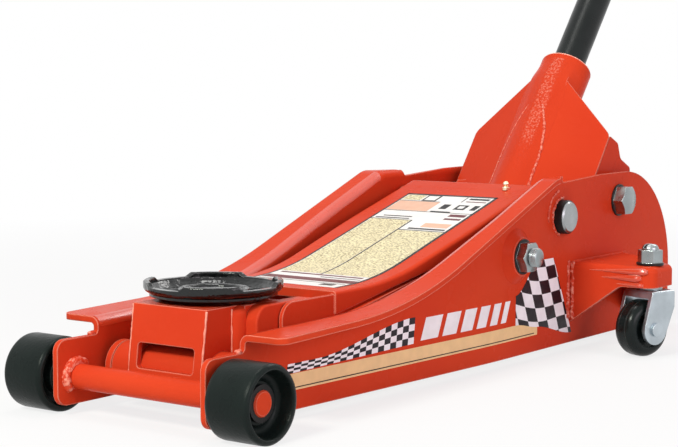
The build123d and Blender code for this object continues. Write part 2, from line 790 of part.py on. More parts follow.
base = block(594, 690, -inside, inside, BASE_TOP - 8, BASE_TOP)
unit = block(UNIT_FRONT, UNIT_REAR, -UNIT_HALF, UNIT_HALF, BASE_TOP, UNIT_TOP)
unit = fillet(unit.edges().filter_by(Axis.Z), 6)
unit += block(UNIT_FRONT, UNIT_REAR, -78, 78, BASE_TOP, FOOT_TOP)
unit -= bar(0, RAM_HEIGHT, CYLINDER_RADIUS + SNUG, UNIT_FRONT - 1, CYLINDER_REAR)
unit -= post(*PUMP_SPOT, 8 + RUNNING, 26, UNIT_TOP + 1)
unit -= post(*VALVE_SPOT, 7 + RUNNING, 70, UNIT_TOP + 1)
mount_bolts = []
for x, y in foot_spots:
    base -= post(x, y, 5 + SNUG, 0, 60)
    unit -= post(x, y, 5 + SNUG, 0, 60)
    mount_bolt = post(0, 0, 5, BASE_TOP - 8, FOOT_TOP)
    mount_bolt += column(RegularPolygon(8, 6, major_radius=False), FOOT_TOP, FOOT_TOP + 7)
    mount_bolts.append(Pos(x, y, 0) * mount_bolt)
save("base_plate", base)
save("valve_block", unit)
save("unit_bolts", *mount_bolts)
save("rear_tie_plate", block(694, 700, -inside, inside, BASE_TOP - 8, 86))

cylinder = bar(0, RAM_HEIGHT, CYLINDER_RADIUS, CYLINDER_FRONT, CYLINDER_REAR)
cylinder -= bar(0, RAM_HEIGHT, PISTON_RADIUS, CYLINDER_FRONT, CYLINDER_REAR - 4)
save("cylinder_tube", cylinder)

shell = bar(0, RAM_HEIGHT, 42, CYLINDER_FRONT + 4, UNIT_FRONT)
shell = fillet(shell.edges().group_by(Axis.X)[0], 3)
shell -= bar(0, RAM_HEIGHT, 38, CYLINDER_FRONT + 8, UNIT_FRONT)
shell -= bar(0, RAM_HEIGHT, CYLINDER_RADIUS + SNUG, CYLINDER_FRONT, UNIT_FRONT)
save("reservoir_shell", shell)

gland = bar(0, RAM_HEIGHT, 31, CYLINDER_FRONT - 14, CYLINDER_FRONT)
gland = chamfer(gland.edges().group_by(Axis.X)[0], 2)
gland -= bar(0, RAM_HEIGHT, RAM_RADIUS + RUNNING, CYLINDER_FRONT - 14, CYLINDER_FRONT)
save("gland_nut", gland)


# Ram with its piston, and the slotted yoke that pushes the crank pin

YOKE_REAR = crank_spot[0] + 30
ram = bar(0, RAM_HEIGHT, RAM_RADIUS, YOKE_REAR, CYLINDER_REAR - 6)
ram += bar(0, RAM_HEIGHT, PISTON_RADIUS - RUNNING, CYLINDER_REAR - 24, CYLINDER_REAR - 6)
save("ram", ram)

slot_half = CRANK_PIN_RADIUS + 1.2
pin_low = ARM_PIVOT[1] - CRANK_RADIUS
slot_low = pin_low - CRANK_PIN_RADIUS - 1.2
slot_high = crank_spot[1] + CRANK_PIN_RADIUS + 1.2
yoke = slab(
    outline(
        (crank_spot[0] - slot_half - 11, slot_low - 11, 8),
        (YOKE_REAR, slot_low - 11, 4),
        (YOKE_REAR, slot_high + 11, 4),
        (crank_spot[0] - slot_half - 11, slot_high + 11, 8),
    ),
    -12,
    12,
)
slot = outline(
    (crank_spot[0] - slot_half, slot_low, 3),
    (crank_spot[0] + slot_half, slot_low, 3),
    (crank_spot[0] + slot_half, slot_high, 3),
    (crank_spot[0] - slot_half, slot_high, 3),
)
yoke -= slab(slot, -20, 20)
save("ram_yoke", yoke)


# Pump plunger and release valve stem

PLUNGER_TOP = 130.0
plunger = post(*PUMP_SPOT, 8, 46, PLUNGER_TOP - 6)
plunger += post(*PUMP_SPOT, 11, PLUNGER_TOP - 6, PLUNGER_TOP)
save("pump_plunger", plunger)

stem = post(*VALVE_SPOT, 7, 74, UNIT_TOP + 4)
stem += post(*VALVE_SPOT, 10, UNIT_TOP + 1, UNIT_TOP + 16)
stem -= block(VALVE_SPOT[0] - 12, VALVE_SPOT[0] + 12, VALVE_SPOT[1] - 3, VALVE_SPOT[1] + 3,
              UNIT_TOP + 6, UNIT_TOP + 18)
save("release_stem", stem)


# Handle socket: collar tube, folded yoke and the nose that works the pump

along = (handle_along[0], 0, handle_along[1])
forward = (-handle_along[1], 0, handle_along[0])
socket_frame = Plane((HANDLE_POINT[0], 0, HANDLE_POINT[1]), x_dir=along, z_dir=forward)
RIDGE = 28.3
FOLD_DROP = 30.0
FOLD_LEAN = 1.5
FRONT_PLATE = 7.0
SHOULDER = -95.0
NECK = -43.0
SOCKET_FOOT = -172.0
TUBE_FOOT = -150.0
TUBE_TOP = -9.5


def socket_rod(radius, start, end):
    tube = Pos((start + end) / 2, 0, 0) * Rot(0, 90, 0) * Cylinder(radius, end - start)
    return socket_frame * tube


def front_half():
    fold = FOLD_DROP / EAR_OUTER
    stretch = sqrt(1 + fold * fold)
    face = outline(
        (SOCKET_FOOT, 0, 0),
        (NECK, 0, 0),
        (NECK, 0.8 * COLLAR_RADIUS * stretch, 0),
        (SHOULDER, EAR_OUTER * stretch, 10),
        (SOCKET_FOOT, EAR_OUTER * stretch, 0),
    )
    half = extrude(face, amount=-FRONT_PLATE, dir=(0, 0, 1))
    half = Pos(0, 0, RIDGE) * Rot(-degrees(atan(fold)), 0, 0) * half
    half = Pos(SHOULDER, 0, 0) * Rot(0, -FOLD_LEAN, 0) * Pos(-SHOULDER, 0, 0) * half
    return socket_frame * half


def socket_ear():
    return slab(
        outline(
            (561, 145, 8),
            (606, 204, 3),
            (624, 196, 5),
            (630, 180, 8),
            (652, 170, 4),
            (650, 146, 12),
            (622, 118, 14),
            (588, 116, 14),
        ),
        EAR_INNER,
        EAR_OUTER,
    )


def socket_yoke():
    half = front_half() + socket_ear()
    body = half + other_side(half)
    body -= socket_rod(COLLAR_RADIUS + SNUG, SOCKET_FOOT - 20, 10)
    return body - rod(SOCKET_PIVOT, SOCKET_BOLT_RADIUS + RUNNING, -90, 90)


save("socket_yoke", socket_yoke())

collar = socket_rod(COLLAR_RADIUS, TUBE_FOOT, TUBE_TOP)
collar = fillet(collar.edges().filter_by(GeomType.CIRCLE).sort_by(Axis.Z)[-1], 2)
tongue = socket_rod(COLLAR_RADIUS, SOCKET_FOOT, TUBE_FOOT)
behind = Pos((SOCKET_FOOT + TUBE_FOOT) / 2, 0, RIDGE / 2 - 50) * Box(60, 100, 100)
collar += tongue - socket_frame * behind
collar -= socket_rod(HANDLE_RADIUS + RUNNING, SOCKET_FOOT - 1, 5)
save("socket_tube", collar)

nose = bone((PUMP_SPOT[0], SOCKET_PIVOT[1]), 9, (622, 166), 12)
save("pump_nose", slab(nose, PUMP_SPOT[1] - 10, EAR_INNER))


# Two-piece handle

JOINT_AT = 470.0
lower = socket_rod(HANDLE_RADIUS, -110, JOINT_AT) - socket_rod(HANDLE_BORE, -111, JOINT_AT + 1)
upper = socket_rod(HANDLE_RADIUS, JOINT_AT + 0.5, HANDLE_REACH)
upper += socket_rod(HANDLE_BORE - SNUG, JOINT_AT - 70, JOINT_AT + 0.5)
upper -= socket_rod(HANDLE_BORE - 3, JOINT_AT - 71, HANDLE_REACH + 1)
joint = socket_frame * Pos(JOINT_AT - 35, 0, 0) * Rot(90, 0, 0)
joint_hole = joint * Cylinder(4 + SNUG, 80)
joint_bolt = joint * Cylinder(4, 36)
for end in (-1, 1):
    joint_bolt += joint * Pos(0, 0, end * 20.5) * Cylinder(7, 6)
save("handle_lower_tube", lower - joint_hole)
save("handle_upper_tube", upper - joint_hole)
save("handle_joint_bolt", joint_bolt)

grip = socket_rod(GRIP_RADIUS, HANDLE_REACH - 145, HANDLE_REACH + 5)
grip = fillet(grip.edges().filter_by(GeomType.CIRCLE), 2)
grip -= socket_rod(HANDLE_RADIUS + SNUG, HANDLE_REACH - 146, HANDLE_REACH)
save("handle_grip", grip)
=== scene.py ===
import math
import random

import bpy
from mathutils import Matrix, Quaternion, Vector


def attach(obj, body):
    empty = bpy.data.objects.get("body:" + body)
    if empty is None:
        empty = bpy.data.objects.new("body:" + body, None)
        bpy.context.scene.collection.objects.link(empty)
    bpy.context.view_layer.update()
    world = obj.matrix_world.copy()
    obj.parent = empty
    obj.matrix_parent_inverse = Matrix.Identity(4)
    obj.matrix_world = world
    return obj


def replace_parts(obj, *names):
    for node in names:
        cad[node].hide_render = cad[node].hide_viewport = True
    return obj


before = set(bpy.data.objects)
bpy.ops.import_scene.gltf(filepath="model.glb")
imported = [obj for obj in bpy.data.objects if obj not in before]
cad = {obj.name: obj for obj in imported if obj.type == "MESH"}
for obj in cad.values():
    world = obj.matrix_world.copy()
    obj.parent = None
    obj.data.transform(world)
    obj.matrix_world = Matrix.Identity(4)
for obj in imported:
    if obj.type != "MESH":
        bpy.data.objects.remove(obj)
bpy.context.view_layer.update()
random.seed(11)

# Places and sizes are in millimetres, from the front axle, the middle line and the floor.
AXLE_BEFORE_MIDDLE = 641.005
NEAR, FAR = -1, 1
SIDES = (NEAR, FAR)
SIDE_NAMES = {NEAR: "right", FAR: "left"}

# Pins that lie across the jack, as x and z
FRONT_AXLE = (0, 30)
LINK_ANCHOR = (396, 100.6)
ARM_PIVOT = (481, 131)
SOCKET_PIVOT = (599, 140)

# Side plates, whose outer faces flare from front to rear
FRONT_FACE, REAR_FACE = 78, 93
FLARE_START, FLARE_LENGTH = 40, 315
PLATE_THICKNESS = 5
BEND_RADIUS = 8

# Handle: a point on its axis, its lean and its direction
HANDLE_POINT = (664, 280)
HANDLE_LEAN = math.radians(51)
HANDLE_UP = (math.cos(HANDLE_LEAN), 0, math.sin(HANDLE_LEAN))


def at(x, y, z):
    """A place in the frame's metres."""
    return Vector(((x - AXLE_BEFORE_MIDDLE) / 1000, y / 1000, z / 1000))


def on_socket(along, across, out):
    """A place on the socket: along the handle, across it and out to its front."""
    x = HANDLE_POINT[0] + along * math.cos(HANDLE_LEAN) - out * math.sin(HANDLE_LEAN)
    z = HANDLE_POINT[1] + along * math.sin(HANDLE_LEAN) + out * math.cos(HANDLE_LEAN)
    return at(x, across, z)


def plate_face(x):
    """How far the plate's outer face stands from the middle line."""
    flare = min(max((x - FLARE_START) / FLARE_LENGTH, 0), 1)
    return FRONT_FACE + (REAR_FACE - FRONT_FACE) * flare


def ease(share):
    """A share kept between 0 and 1, with a soft start and end."""
    share = min(max(share, 0), 1)
    return share * share * (3 - 2 * share)


# Finishes

def finish(name, sockets):
    """A new material, with these values on its shader."""
    made = bpy.data.materials.new(name)
    made.use_nodes = True
    shader = made.node_tree.nodes["Principled BSDF"]
    for socket, value in sockets.items():
        shader.inputs[socket].default_value = value
    return made


def add(owner, kind, sockets=None, **settings):
    """A new node in a material or in the world."""
    new = owner.node_tree.nodes.new("ShaderNode" + kind)
    for setting, value in settings.items():
        setattr(new, setting, value)
    for socket, value in (sockets or {}).items():
        new.inputs[socket].default_value = value
    return new


def link(owner, start, end):
    owner.node_tree.links.new(start, end)


def shade(made, socket, start):
    link(made, start, made.node_tree.nodes["Principled BSDF"].inputs[socket])


def grain(made, scale, detail=2.0, stretch=(1, 1, 1)):
    """Cloudy noise that lies still on the piece."""
    source = add(made, "TexCoord").outputs["Object"]
    mapping = add(made, "Mapping", {"Scale": stretch})
    link(made, source, mapping.inputs["Vector"])
    noise = add(made, "TexNoise", {"Scale": scale, "Detail": detail})
    link(made, mapping.outputs["Vector"], noise.inputs["Vector"])
    return noise.outputs["Fac"]


def spread(made, source, low, high, start=0.35, end=0.65):
    """The source, stretched so that start becomes low and end becomes high."""
    span = add(made, "MapRange", {"From Min": start, "From Max": end, "To Min": low, "To Max": high})
    link(made, source, span.inputs["Value"])
    return span.outputs["Result"]


def tones(made, share, first, second):
    """A colour between two, each a socket or three numbers."""
    mix = add(made, "Mix", data_type="RGBA")
    link(made, share, mix.inputs["Factor"])
    for socket, colour in ((mix.inputs[6], first), (mix.inputs[7], second)):
        if isinstance(colour, tuple):
            socket.default_value = (*colour, 1)
        else:
            link(made, colour, socket)
    return mix.outputs[2]


def relief(made, height, strength, distance, base=None):
    """A normal bent by a height of some metres, on top of another normal if there is one."""
    bump = add(made, "Bump", {"Strength": strength, "Distance": distance})
    link(made, height, bump.inputs["Height"])
    if base is not None:
        link(made, base, bump.inputs["Normal"])
    return bump.outputs["Normal"]


def edge_rounding_and_highlight_mask(made, radius):
    """The normal of edges rounded by a radius in metres, and a mask that is 1 along them, along which the
    finishes paint highlights.
    """
    bevel = add(made, "Bevel", {"Radius": radius}, samples=6)
    flat = add(made, "NewGeometry")
    same = add(made, "VectorMath", operation="DOT_PRODUCT")
    link(made, bevel.outputs["Normal"], same.inputs[0])
    link(made, flat.outputs["Normal"], same.inputs[1])
    return bevel.outputs["Normal"], spread(made, same.outputs["Value"], 1, 0, start=0.80, end=0.985)


def product(made, first, second):
    """The product of two sockets or numbers."""
    times = add(made, "Math", operation="MULTIPLY")
    for socket, value in zip(times.inputs, (first, second)):
        if isinstance(value, float):
            socket.default_value = value
        else:
            link(made, value, socket)
    return times.outputs[0]


def scaled(colour, factor):
    """A lighter or darker colour."""
    return tuple(factor * part for part in colour)


RED, LIGHT_RED = (0.60, 0.046, 0.016), (0.65, 0.058, 0.019)
# Pale pink painted on as highlights and glints (on edges, weld lumps and seams), and the share of it along
# edges
PAINTED_HIGHLIGHT_RED = (1.0, 0.46, 0.34)
EDGE_HIGHLIGHT_SHARE = 0.68
# Grain of the lumps on welds and on the socket's band, and the share of their crests painted pale as glints
LUMP_GRAIN, LUMP_GLINT_SHARE = 330, 0.7
BAND_GRAIN, BAND_GLINT_SHARE = 480, 0.36


def red_enamel(name, gloss=1.09, lump=0.0, where=None, pale=0.0):
    """Red paint with edges painted paler as highlights, with lumps where the mask says so whose crests are
    painted pale as glints, and painted paler in clouds as a highlight if asked.
    """
    made = finish(name, {"IOR": gloss})
    rounded, edge = edge_rounding_and_highlight_mask(made, radius=0.0018)
    body = tones(made, spread(made, grain(made, scale=7), 0, 1), RED, LIGHT_RED)
    skin = relief(made, grain(made, scale=700), strength=0.07, distance=0.0004, base=rounded)
    # If asked, the whole piece is painted paler in clouds as a highlight
    if pale:
        clouds = grain(made, scale=150)
        body = tones(made, spread(made, clouds, pale - 0.2, pale + 0.1), body, PAINTED_HIGHLIGHT_RED)
    # Lumps are bumps whose crests are painted pale as glints
    if lump:
        scale, share = (BAND_GRAIN, BAND_GLINT_SHARE) if where else (LUMP_GRAIN, LUMP_GLINT_SHARE)
        lumps = grain(made, scale, detail=3)
        if where:
            lumps = product(made, lumps, where(made))
        body = tones(made, spread(made, lumps, 0, share, start=0.46, end=0.68), body, PAINTED_HIGHLIGHT_RED)
        skin = relief(made, lumps, strength=lump, distance=0.0012, base=skin)
    # Edges painted pale as highlights
    shade(made, "Base Color", tones(made, product(made, edge, EDGE_HIGHLIGHT_SHARE), body, PAINTED_HIGHLIGHT_RED))
    shade(made, "Roughness", spread(made, grain(made, scale=40, detail=3), 0.20, 0.30))
    waves = grain(made, scale=45, detail=1)
    shade(made, "Normal", relief(made, waves, strength=0.05, distance=0.002, base=skin))
    return made


BAND_MIDDLE = 0.40


def socket_band(made):
    """1 along a band down the front of the socket, on its own UV map, where the paint is made rough and
    painted pale as a highlight.
    """
    parts = add(made, "SeparateXYZ")
    link(made, add(made, "TexCoord").outputs["UV"], parts.inputs["Vector"])
    aside = add(made, "Math", {1: BAND_MIDDLE}, operation="SUBTRACT")
    link(made, parts.outputs["X"], aside.inputs[0])
    off = add(made, "Math", operation="ABSOLUTE")
    link(made, aside.outputs[0], off.inputs[0])
    across = spread(made, off.outputs[0], 1, 0, start=0.10, end=0.26)
    up = spread(made, parts.outputs["Y"], 0, 1, start=0.05, end=0.40)
    return product(made, across, up)


def black_coat(name, colour, roughness, peel, gloss=0.2, cast=0.0):
    """Black paint or rubber with grey edges painted as highlights: peel is its fine relief, cast that of a
    rough casting.
    """
    made = finish(name, {"Specular IOR Level": gloss})
    rounded, edge = edge_rounding_and_highlight_mask(made, radius=0.0012)
    edge_highlight_grey = tuple(2.2 * part + 0.035 for part in colour)
    clouds = spread(made, grain(made, scale=30, detail=3), 0, 1)
    body = tones(made, clouds, colour, scaled(colour, 1.25))
    # Edges painted grey as highlights
    shade(made, "Base Color", tones(made, edge, body, edge_highlight_grey))
    shade(made, "Roughness", spread(made, grain(made, scale=60, detail=3), roughness, roughness + 0.12))
    if cast:
        lumps = grain(made, scale=60, detail=3)
        rounded = relief(made, lumps, strength=cast, distance=0.0045, base=rounded)
    fine = grain(made, scale=420, detail=3)
    shade(made, "Normal", relief(made, fine, strength=peel, distance=0.0006, base=rounded))
    return made


def bright_metal(name, colour, roughness, streak=(1, 1, 1)):
    """Plated or turned metal, clouded, with edges painted brighter as highlights."""
    made = finish(name, {"Metallic": 1.0})
    rounded, edge = edge_rounding_and_highlight_mask(made, radius=0.0008)
    bright = tuple(min(1.0, 1.15 * part) for part in colour)
    clouds = spread(made, grain(made, scale=55, detail=4), 0, 1)
    body = tones(made, clouds, scaled(colour, 0.80), colour)
    # Edges painted brighter as highlights
    shade(made, "Base Color", tones(made, edge, body, bright))
    smears = grain(made, scale=120, detail=3, stretch=streak)
    shade(made, "Roughness", spread(made, smears, roughness - 0.06, roughness + 0.10))
    scratches = grain(made, scale=500, stretch=streak)
    shade(made, "Normal", relief(made, scratches, strength=0.05, distance=0.0003, base=rounded))
    return made


RULE_BROWN = (0.20, 0.13, 0.05)
RULE_STRETCH = (1150, 420, 420)


def print_ink(name, colour, rules=0.0):
    """Printed film, with faint rules across it where they are asked for."""
    made = finish(name, {"Specular IOR Level": 0.2})
    clouds = spread(made, grain(made, scale=90), 0, 1)
    body = tones(made, clouds, scaled(colour, 0.93), colour)
    if rules:
        rows = grain(made, scale=1, stretch=RULE_STRETCH)
        body = tones(made, spread(made, rows, 0, rules, start=0.48, end=0.60), body, RULE_BROWN)
    shade(made, "Base Color", body)
    shade(made, "Roughness", spread(made, grain(made, scale=200), 0.34, 0.48))
    return made


def chequer(name, columns, rows):
    """Dark and white squares on the piece's own UV map."""
    made = finish(name, {"Specular IOR Level": 0.2})
    across = add(made, "Mapping", {"Scale": (columns, rows, 1)})
    link(made, add(made, "TexCoord").outputs["UV"], across.inputs["Vector"])
    squares = add(made, "TexChecker", {"Scale": 1.0})
    link(made, across.outputs["Vector"], squares.inputs["Vector"])
    clouds = spread(made, grain(made, scale=80), 0, 1)
    dark = tones(made, clouds, (0.010, 0.005, 0.009), (0.016, 0.009, 0.014))
    pale = tones(made, clouds, (0.86, 0.83, 0.87), (0.92, 0.90, 0.93))
    shade(made, "Base Color", tones(made, squares.outputs["Fac"], dark, pale))
    shade(made, "Roughness", spread(made, grain(made, scale=200), 0.34, 0.48))
    return made


red = red_enamel("red enamel")
# Over welds the lumps are bumps with pale glints painted on their crests
weld_red = red_enamel("red enamel over weld", gloss=1.3, lump=0.7)
ridge_red = red_enamel("red enamel on pressed ridges", gloss=1.6)
bend_red = red_enamel("red enamel on flange bends", gloss=1.9)
# Seams and the collar's rim are painted paler in clouds as a highlight
seam_red = red_enamel("red enamel over seams", gloss=1.4, lump=0.3, pale=0.62)
# The socket's front band is rough and painted pale as a highlight
socket_red = red_enamel("red enamel on socket front", gloss=1.12, lump=1.0, where=socket_band)
handle_black = black_coat("satin black coat", (0.006, 0.008, 0.008), roughness=0.24, peel=0.10, gloss=0.22)
saddle_black = black_coat(
    "gloss black casting", (0.003, 0.004, 0.004), roughness=0.06, peel=0.20, gloss=0.46, cast=0.6
)
wheel_black = black_coat("black wheel", (0.006, 0.010, 0.009), roughness=0.26, peel=0.35, gloss=0.12)
tyre_black = black_coat("black caster tyre", (0.005, 0.008, 0.008), roughness=0.20, peel=0.14, gloss=0.18)
rubber = black_coat("black grip rubber", (0.010, 0.010, 0.011), roughness=0.62, peel=0.30)
zinc = bright_metal("zinc plate", (0.50, 0.56, 0.60), roughness=0.34)
bolt_zinc = bright_metal("dull plated bolt", (0.36, 0.40, 0.41), roughness=0.30)
steel = bright_metal("turned steel", (0.38, 0.40, 0.41), roughness=0.30, streak=(1, 14, 1))
brass = bright_metal("pale brass", (0.95, 0.82, 0.56), roughness=0.26)
dark_ring = black_coat("blackened washer", (0.010, 0.009, 0.009), roughness=0.38, peel=0.10)
label_white = print_ink("label white", (0.88, 0.87, 0.85))
label_cream = print_ink("label cream", (0.86, 0.78, 0.50), rules=0.75)
label_pink = print_ink("label pink", (0.80, 0.48, 0.34))
label_ink = print_ink("label black", (0.012, 0.010, 0.010))
label_maroon = print_ink("label maroon", (0.14, 0.03, 0.035))
side_white = print_ink("side print white", (0.90, 0.88, 0.90))
side_sand = print_ink("side print sand", (0.88, 0.60, 0.30))
small_flag = chequer("small chequered flag", columns=20, rows=4)
large_flag = chequer("large chequered flag", columns=1, rows=1)

# Nodes that are not red, without the name of their side
NODE_FINISHES = (
    (zinc, ("caster_fork", "caster_axle")),
    (bolt_zinc, ("link_anchor_nuts", "link_anchor_bolts", "socket_pivot_bolts", "caster_stem")),
    (bolt_zinc, ("handle_joint_bolt", "unit_bolts", "saddle_bolt")),
    (steel, ("arm_pivot_shaft", "head_pivot_pin", "head_pin_collars", "link_front_pin", "crank_pin")),
    (steel, ("ram", "pump_plunger", "release_stem", "gland_nut", "cylinder_tube", "link_anchor_spacers")),
    # This dark finish also lies on the spacers between side plates and wheels, where that gap shows dark
    (dark_ring, ("axle_rings",)),
    (wheel_black, ("front_wheel",)),
    (tyre_black, ("caster_wheel",)),
    (saddle_black, ("saddle",)),
    (handle_black, ("handle_lower_tube", "handle_upper_tube", "valve_block", "ram_yoke")),
    (rubber, ("handle_grip",)),
    (brass, ("grease_nipple",)),
)

for name, piece in cad.items():
    plain = name.removeprefix("left_").removeprefix("right_")
    chosen = [look for look, names in NODE_FINISHES if plain in names]
    piece.data.materials.clear()
    piece.data.materials.append(chosen[0] if chosen else red)


# Modelling helpers

SMOOTH_ANGLE = math.radians(38)
MERGE_DISTANCE = 0.000001
# The radius at which a turned piece closes on its axis
POINT = 0.02
# How far a hexagon's barrel stands over its flats, the share of the flats that its face keeps, and
# the slope of its turned corners
BARREL_SHARE, FACE_SHARE, CORNER_SLOPE = 1.4, 0.97, 0.58


def deselect():
    bpy.ops.object.select_all(action="DESELECT")


def edit_all():
    bpy.ops.object.mode_set(mode="EDIT")
    bpy.ops.mesh.select_all(action="SELECT")


def face_outwards():
    """Turns the faces of the active piece outwards."""
    edit_all()
    bpy.ops.mesh.normals_make_consistent(inside=False)
    bpy.ops.object.mode_set(mode="OBJECT")


def done(name, look, body):
    """Puts the place of the active piece in its mesh, names it and lets it ride."""
    piece = bpy.context.object
    bpy.ops.object.transform_apply(location=True, rotation=True, scale=True)
    bpy.ops.object.shade_smooth_by_angle(angle=SMOOTH_ANGLE)
    piece.name = name
    if look is not None:
        piece.data.materials.clear()
        piece.data.materials.append(look)
    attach(piece, body)
    return piece


def apply_modifiers(piece):
    for modifier in list(piece.modifiers):
        bpy.ops.object.modifier_apply(modifier=modifier.name)


def laid_grid(columns, rows, place):
    """A grid whose corners, from -1 to 1 each way, are laid out by place."""
    deselect()
    bpy.ops.mesh.primitive_grid_add(x_subdivisions=columns, y_subdivisions=rows, size=2)
    piece = bpy.context.object
    for corner in piece.data.vertices:
        corner.co = place(corner.co.x, corner.co.y)
    return piece


def thicken(piece, thickness):
    """Gives a laid grid a wall on the side that its faces show, which is the inner one here."""
    thick = piece.modifiers.new("thick", "SOLIDIFY")
    thick.thickness = thickness / 1000
    thick.offset = 1
    apply_modifiers(piece)


def patch(place, columns, rows, carrier, lift):
    """A thin sheet, laid out by place(across, along) from 0 to 1 and pressed on its carrier."""
    piece = laid_grid(columns, rows, lambda across, along: place((across + 1) / 2, (along + 1) / 2))
    press = piece.modifiers.new("press", "SHRINKWRAP")
    press.target = cad[carrier]
    press.wrap_mode = "ABOVE_SURFACE"
    press.offset = lift / 1000
    apply_modifiers(piece)
    return piece


def join(pieces):
    deselect()
    for piece in pieces:
        piece.select_set(True)
    bpy.context.view_layer.objects.active = pieces[0]
    bpy.ops.object.join()
    return pieces[0]


def turned(profile, steps=56):
    """A piece turned about Z: a circle extruded from each (radius, height) to the next."""
    deselect()
    radius, height = profile[0]
    bpy.ops.mesh.primitive_circle_add(vertices=steps, radius=radius / 1000)
    edit_all()
    bpy.ops.transform.translate(value=(0, 0, height / 1000))
    for next_radius, next_height in profile[1:]:
        bpy.ops.mesh.extrude_edges_move()
        ratio = next_radius / radius
        bpy.ops.transform.resize(value=(ratio, ratio, 1), center_override=(0, 0, 0))
        bpy.ops.transform.translate(value=(0, 0, (next_height - height) / 1000))
        radius, height = next_radius, next_height
    bpy.ops.mesh.select_all(action="SELECT")
    bpy.ops.mesh.remove_doubles(threshold=MERGE_DISTANCE)
    bpy.ops.mesh.fill_holes(sides=0)
    face_outwards()
    return bpy.context.object


def turned_ring(profile, steps=56):
    """A turned piece with a hole, whose profile runs back to its first point."""
    return turned([*profile, profile[0]], steps)


def coated(piece, look):
    piece.data.materials.append(look)
    return piece


def hexagon(across_flats, low, high, look):
    """A hexagon about Z whose corners are turned away at the upper face."""
    flat = across_flats / 2
    wide = BARREL_SHARE * flat
    face = FACE_SHARE * flat
    shoulder = high - (wide - face) * CORNER_SLOPE
    barrel = turned([(wide, low - 1), (wide, shoulder), (face, high)], steps=64)
    deselect()
    bpy.ops.mesh.primitive_cylinder_add(
        vertices=6, radius=flat / math.cos(math.pi / 6) / 1000, depth=(high - low) / 1000,
        location=(0, 0, (low + high) / 2000), rotation=(0, 0, math.pi / 6),
    )
    piece = bpy.context.object
    trim = piece.modifiers.new("trim", "BOOLEAN")
    trim.operation = "INTERSECT"
    trim.object = barrel
    apply_modifiers(piece)
    bpy.data.objects.remove(barrel)
    bpy.ops.object.transform_apply(location=True, rotation=True, scale=True)
    return coated(piece, look)


def stand(piece, place, outwards):
    """Moves a piece made about Z to its place, with Z turned outwards."""
    piece.location = place
    piece.rotation_euler = Vector(outwards).to_track_quat("Z", "Y").to_euler()
    return piece


# Front of the socket: a round collar, and below its neck the yoke's fold with a rounded ridge

COLLAR_RADIUS = 27.0
NECK, NECK_RUN = -44.0, 26
FOLD_OUT, FOLD_RISE, FOLD_START = 28.3, 0.0262, -95
FOLD_SLOPE, FOLD_ROUND = 0.38, 4
FLANK_DROP, FLANK_START, FLANK_RUN = 1.5, 10, 14
RUN_TOGETHER = 2
YOKE_SKIN, COLLAR_SKIN = 0.1, 0.12


def skin_out(along, across):
    """How far the front of the socket stands out, with fold, tube and collar run together."""
    ridge = FOLD_OUT + FOLD_RISE * (min(along, NECK) - FOLD_START)
    fold = ridge - FOLD_SLOPE * (math.hypot(across, FOLD_ROUND) - FOLD_ROUND)
    fold -= FLANK_DROP * ease((abs(across) - FLANK_START) / FLANK_RUN)
    tube = math.sqrt(max(0, COLLAR_RADIUS**2 - across**2))
    both = (fold + tube + math.hypot(fold - tube, RUN_TOGETHER)) / 2 + YOKE_SKIN
    share = ease((along - NECK) / NECK_RUN)
    return both + (tube + COLLAR_SKIN - both) * share


SKIN_FOOT, SKIN_TOP = -188, -17
SKIN_HALF, FOOT_WIDER, FOOT_RUN = 21.4, 2.6, 16
# The share of a sheet that lies flat; the rest is turned down at both sides
FLAT_SHARE = 0.9
# Where the turned part ends on the collar, and how far it goes out and in on the yoke
COLLAR_HEM = (25.5, 9.1)
YOKE_HEM = (1.5, 1.8)
HEM_RUN = 8


def socket_front():
    """A skin over the joint of the yoke's fold and the collar, as paint and weld run over it."""
    def place(across, up):
        along = SKIN_FOOT + (SKIN_TOP - SKIN_FOOT) * (up + 1) / 2
        half = SKIN_HALF + FOOT_WIDER * ease((NECK - along) / FOOT_RUN)
        spot = min(abs(across) / FLAT_SHARE, 1) * half
        out = skin_out(along, spot)
        hem = max(0, abs(across) - FLAT_SHARE) / (1 - FLAT_SHARE)
        on_yoke = ease((NECK - along) / HEM_RUN)
        to_collar = COLLAR_HEM[1] - skin_out(along, half)
        spot += hem * ((COLLAR_HEM[0] - half) * (1 - on_yoke) + YOKE_HEM[0] * on_yoke)
        out += hem * (to_collar * (1 - on_yoke) - YOKE_HEM[1] * on_yoke)
        return on_socket(along, math.copysign(spot, across), out)

    laid_grid(columns=40, rows=80, place=place)
    face_outwards()
    return done("socket_front_skin", socket_red, "socket")


COLLAR_RIM = [(24.9, -11.6), (27.08, -11.6), (26.95, -10.8), (26.5, -10.05), (25.8, -9.6), (24.9, -9.4)]


def collar_rim():
    """A thin ring on the upper edge of the collar, painted pale as a highlight."""
    stand(turned_ring(COLLAR_RIM, steps=72), on_socket(0, 0, 0), HANDLE_UP)
    return done("collar_rim", seam_red, "socket")


APRON_MIDDLE, APRON_REACH = -174, 14
APRON_HALF = 76
APRON_THICKNESS = 5
APRON_PROUD = 0.05
# How far the apron dips under the yoke above it and under the skin in front, and where
YOKE_DIP, YOKE_DIP_START, YOKE_DIP_RUN = 0.5, -171, 10
SKIN_DIP, SKIN_DIP_END, SKIN_DIP_RUN = 0.35, 24, 3


def socket_apron():
    """The lower edge of the yoke's front, down behind the arm cover."""
    def place(across, up):
        along = APRON_MIDDLE + APRON_REACH * up
        spot = APRON_HALF * across
        dip = YOKE_DIP * ease((along - YOKE_DIP_START) / YOKE_DIP_RUN)
        dip += SKIN_DIP * ease((SKIN_DIP_END - abs(spot)) / SKIN_DIP_RUN)
        return on_socket(along, spot, skin_out(along, spot) - dip + APRON_PROUD)

    thicken(laid_grid(columns=76, rows=14, place=place), APRON_THICKNESS)
    face_outwards()
    return done("socket_apron", red, "socket")


socket_front()
collar_rim()
socket_apron()


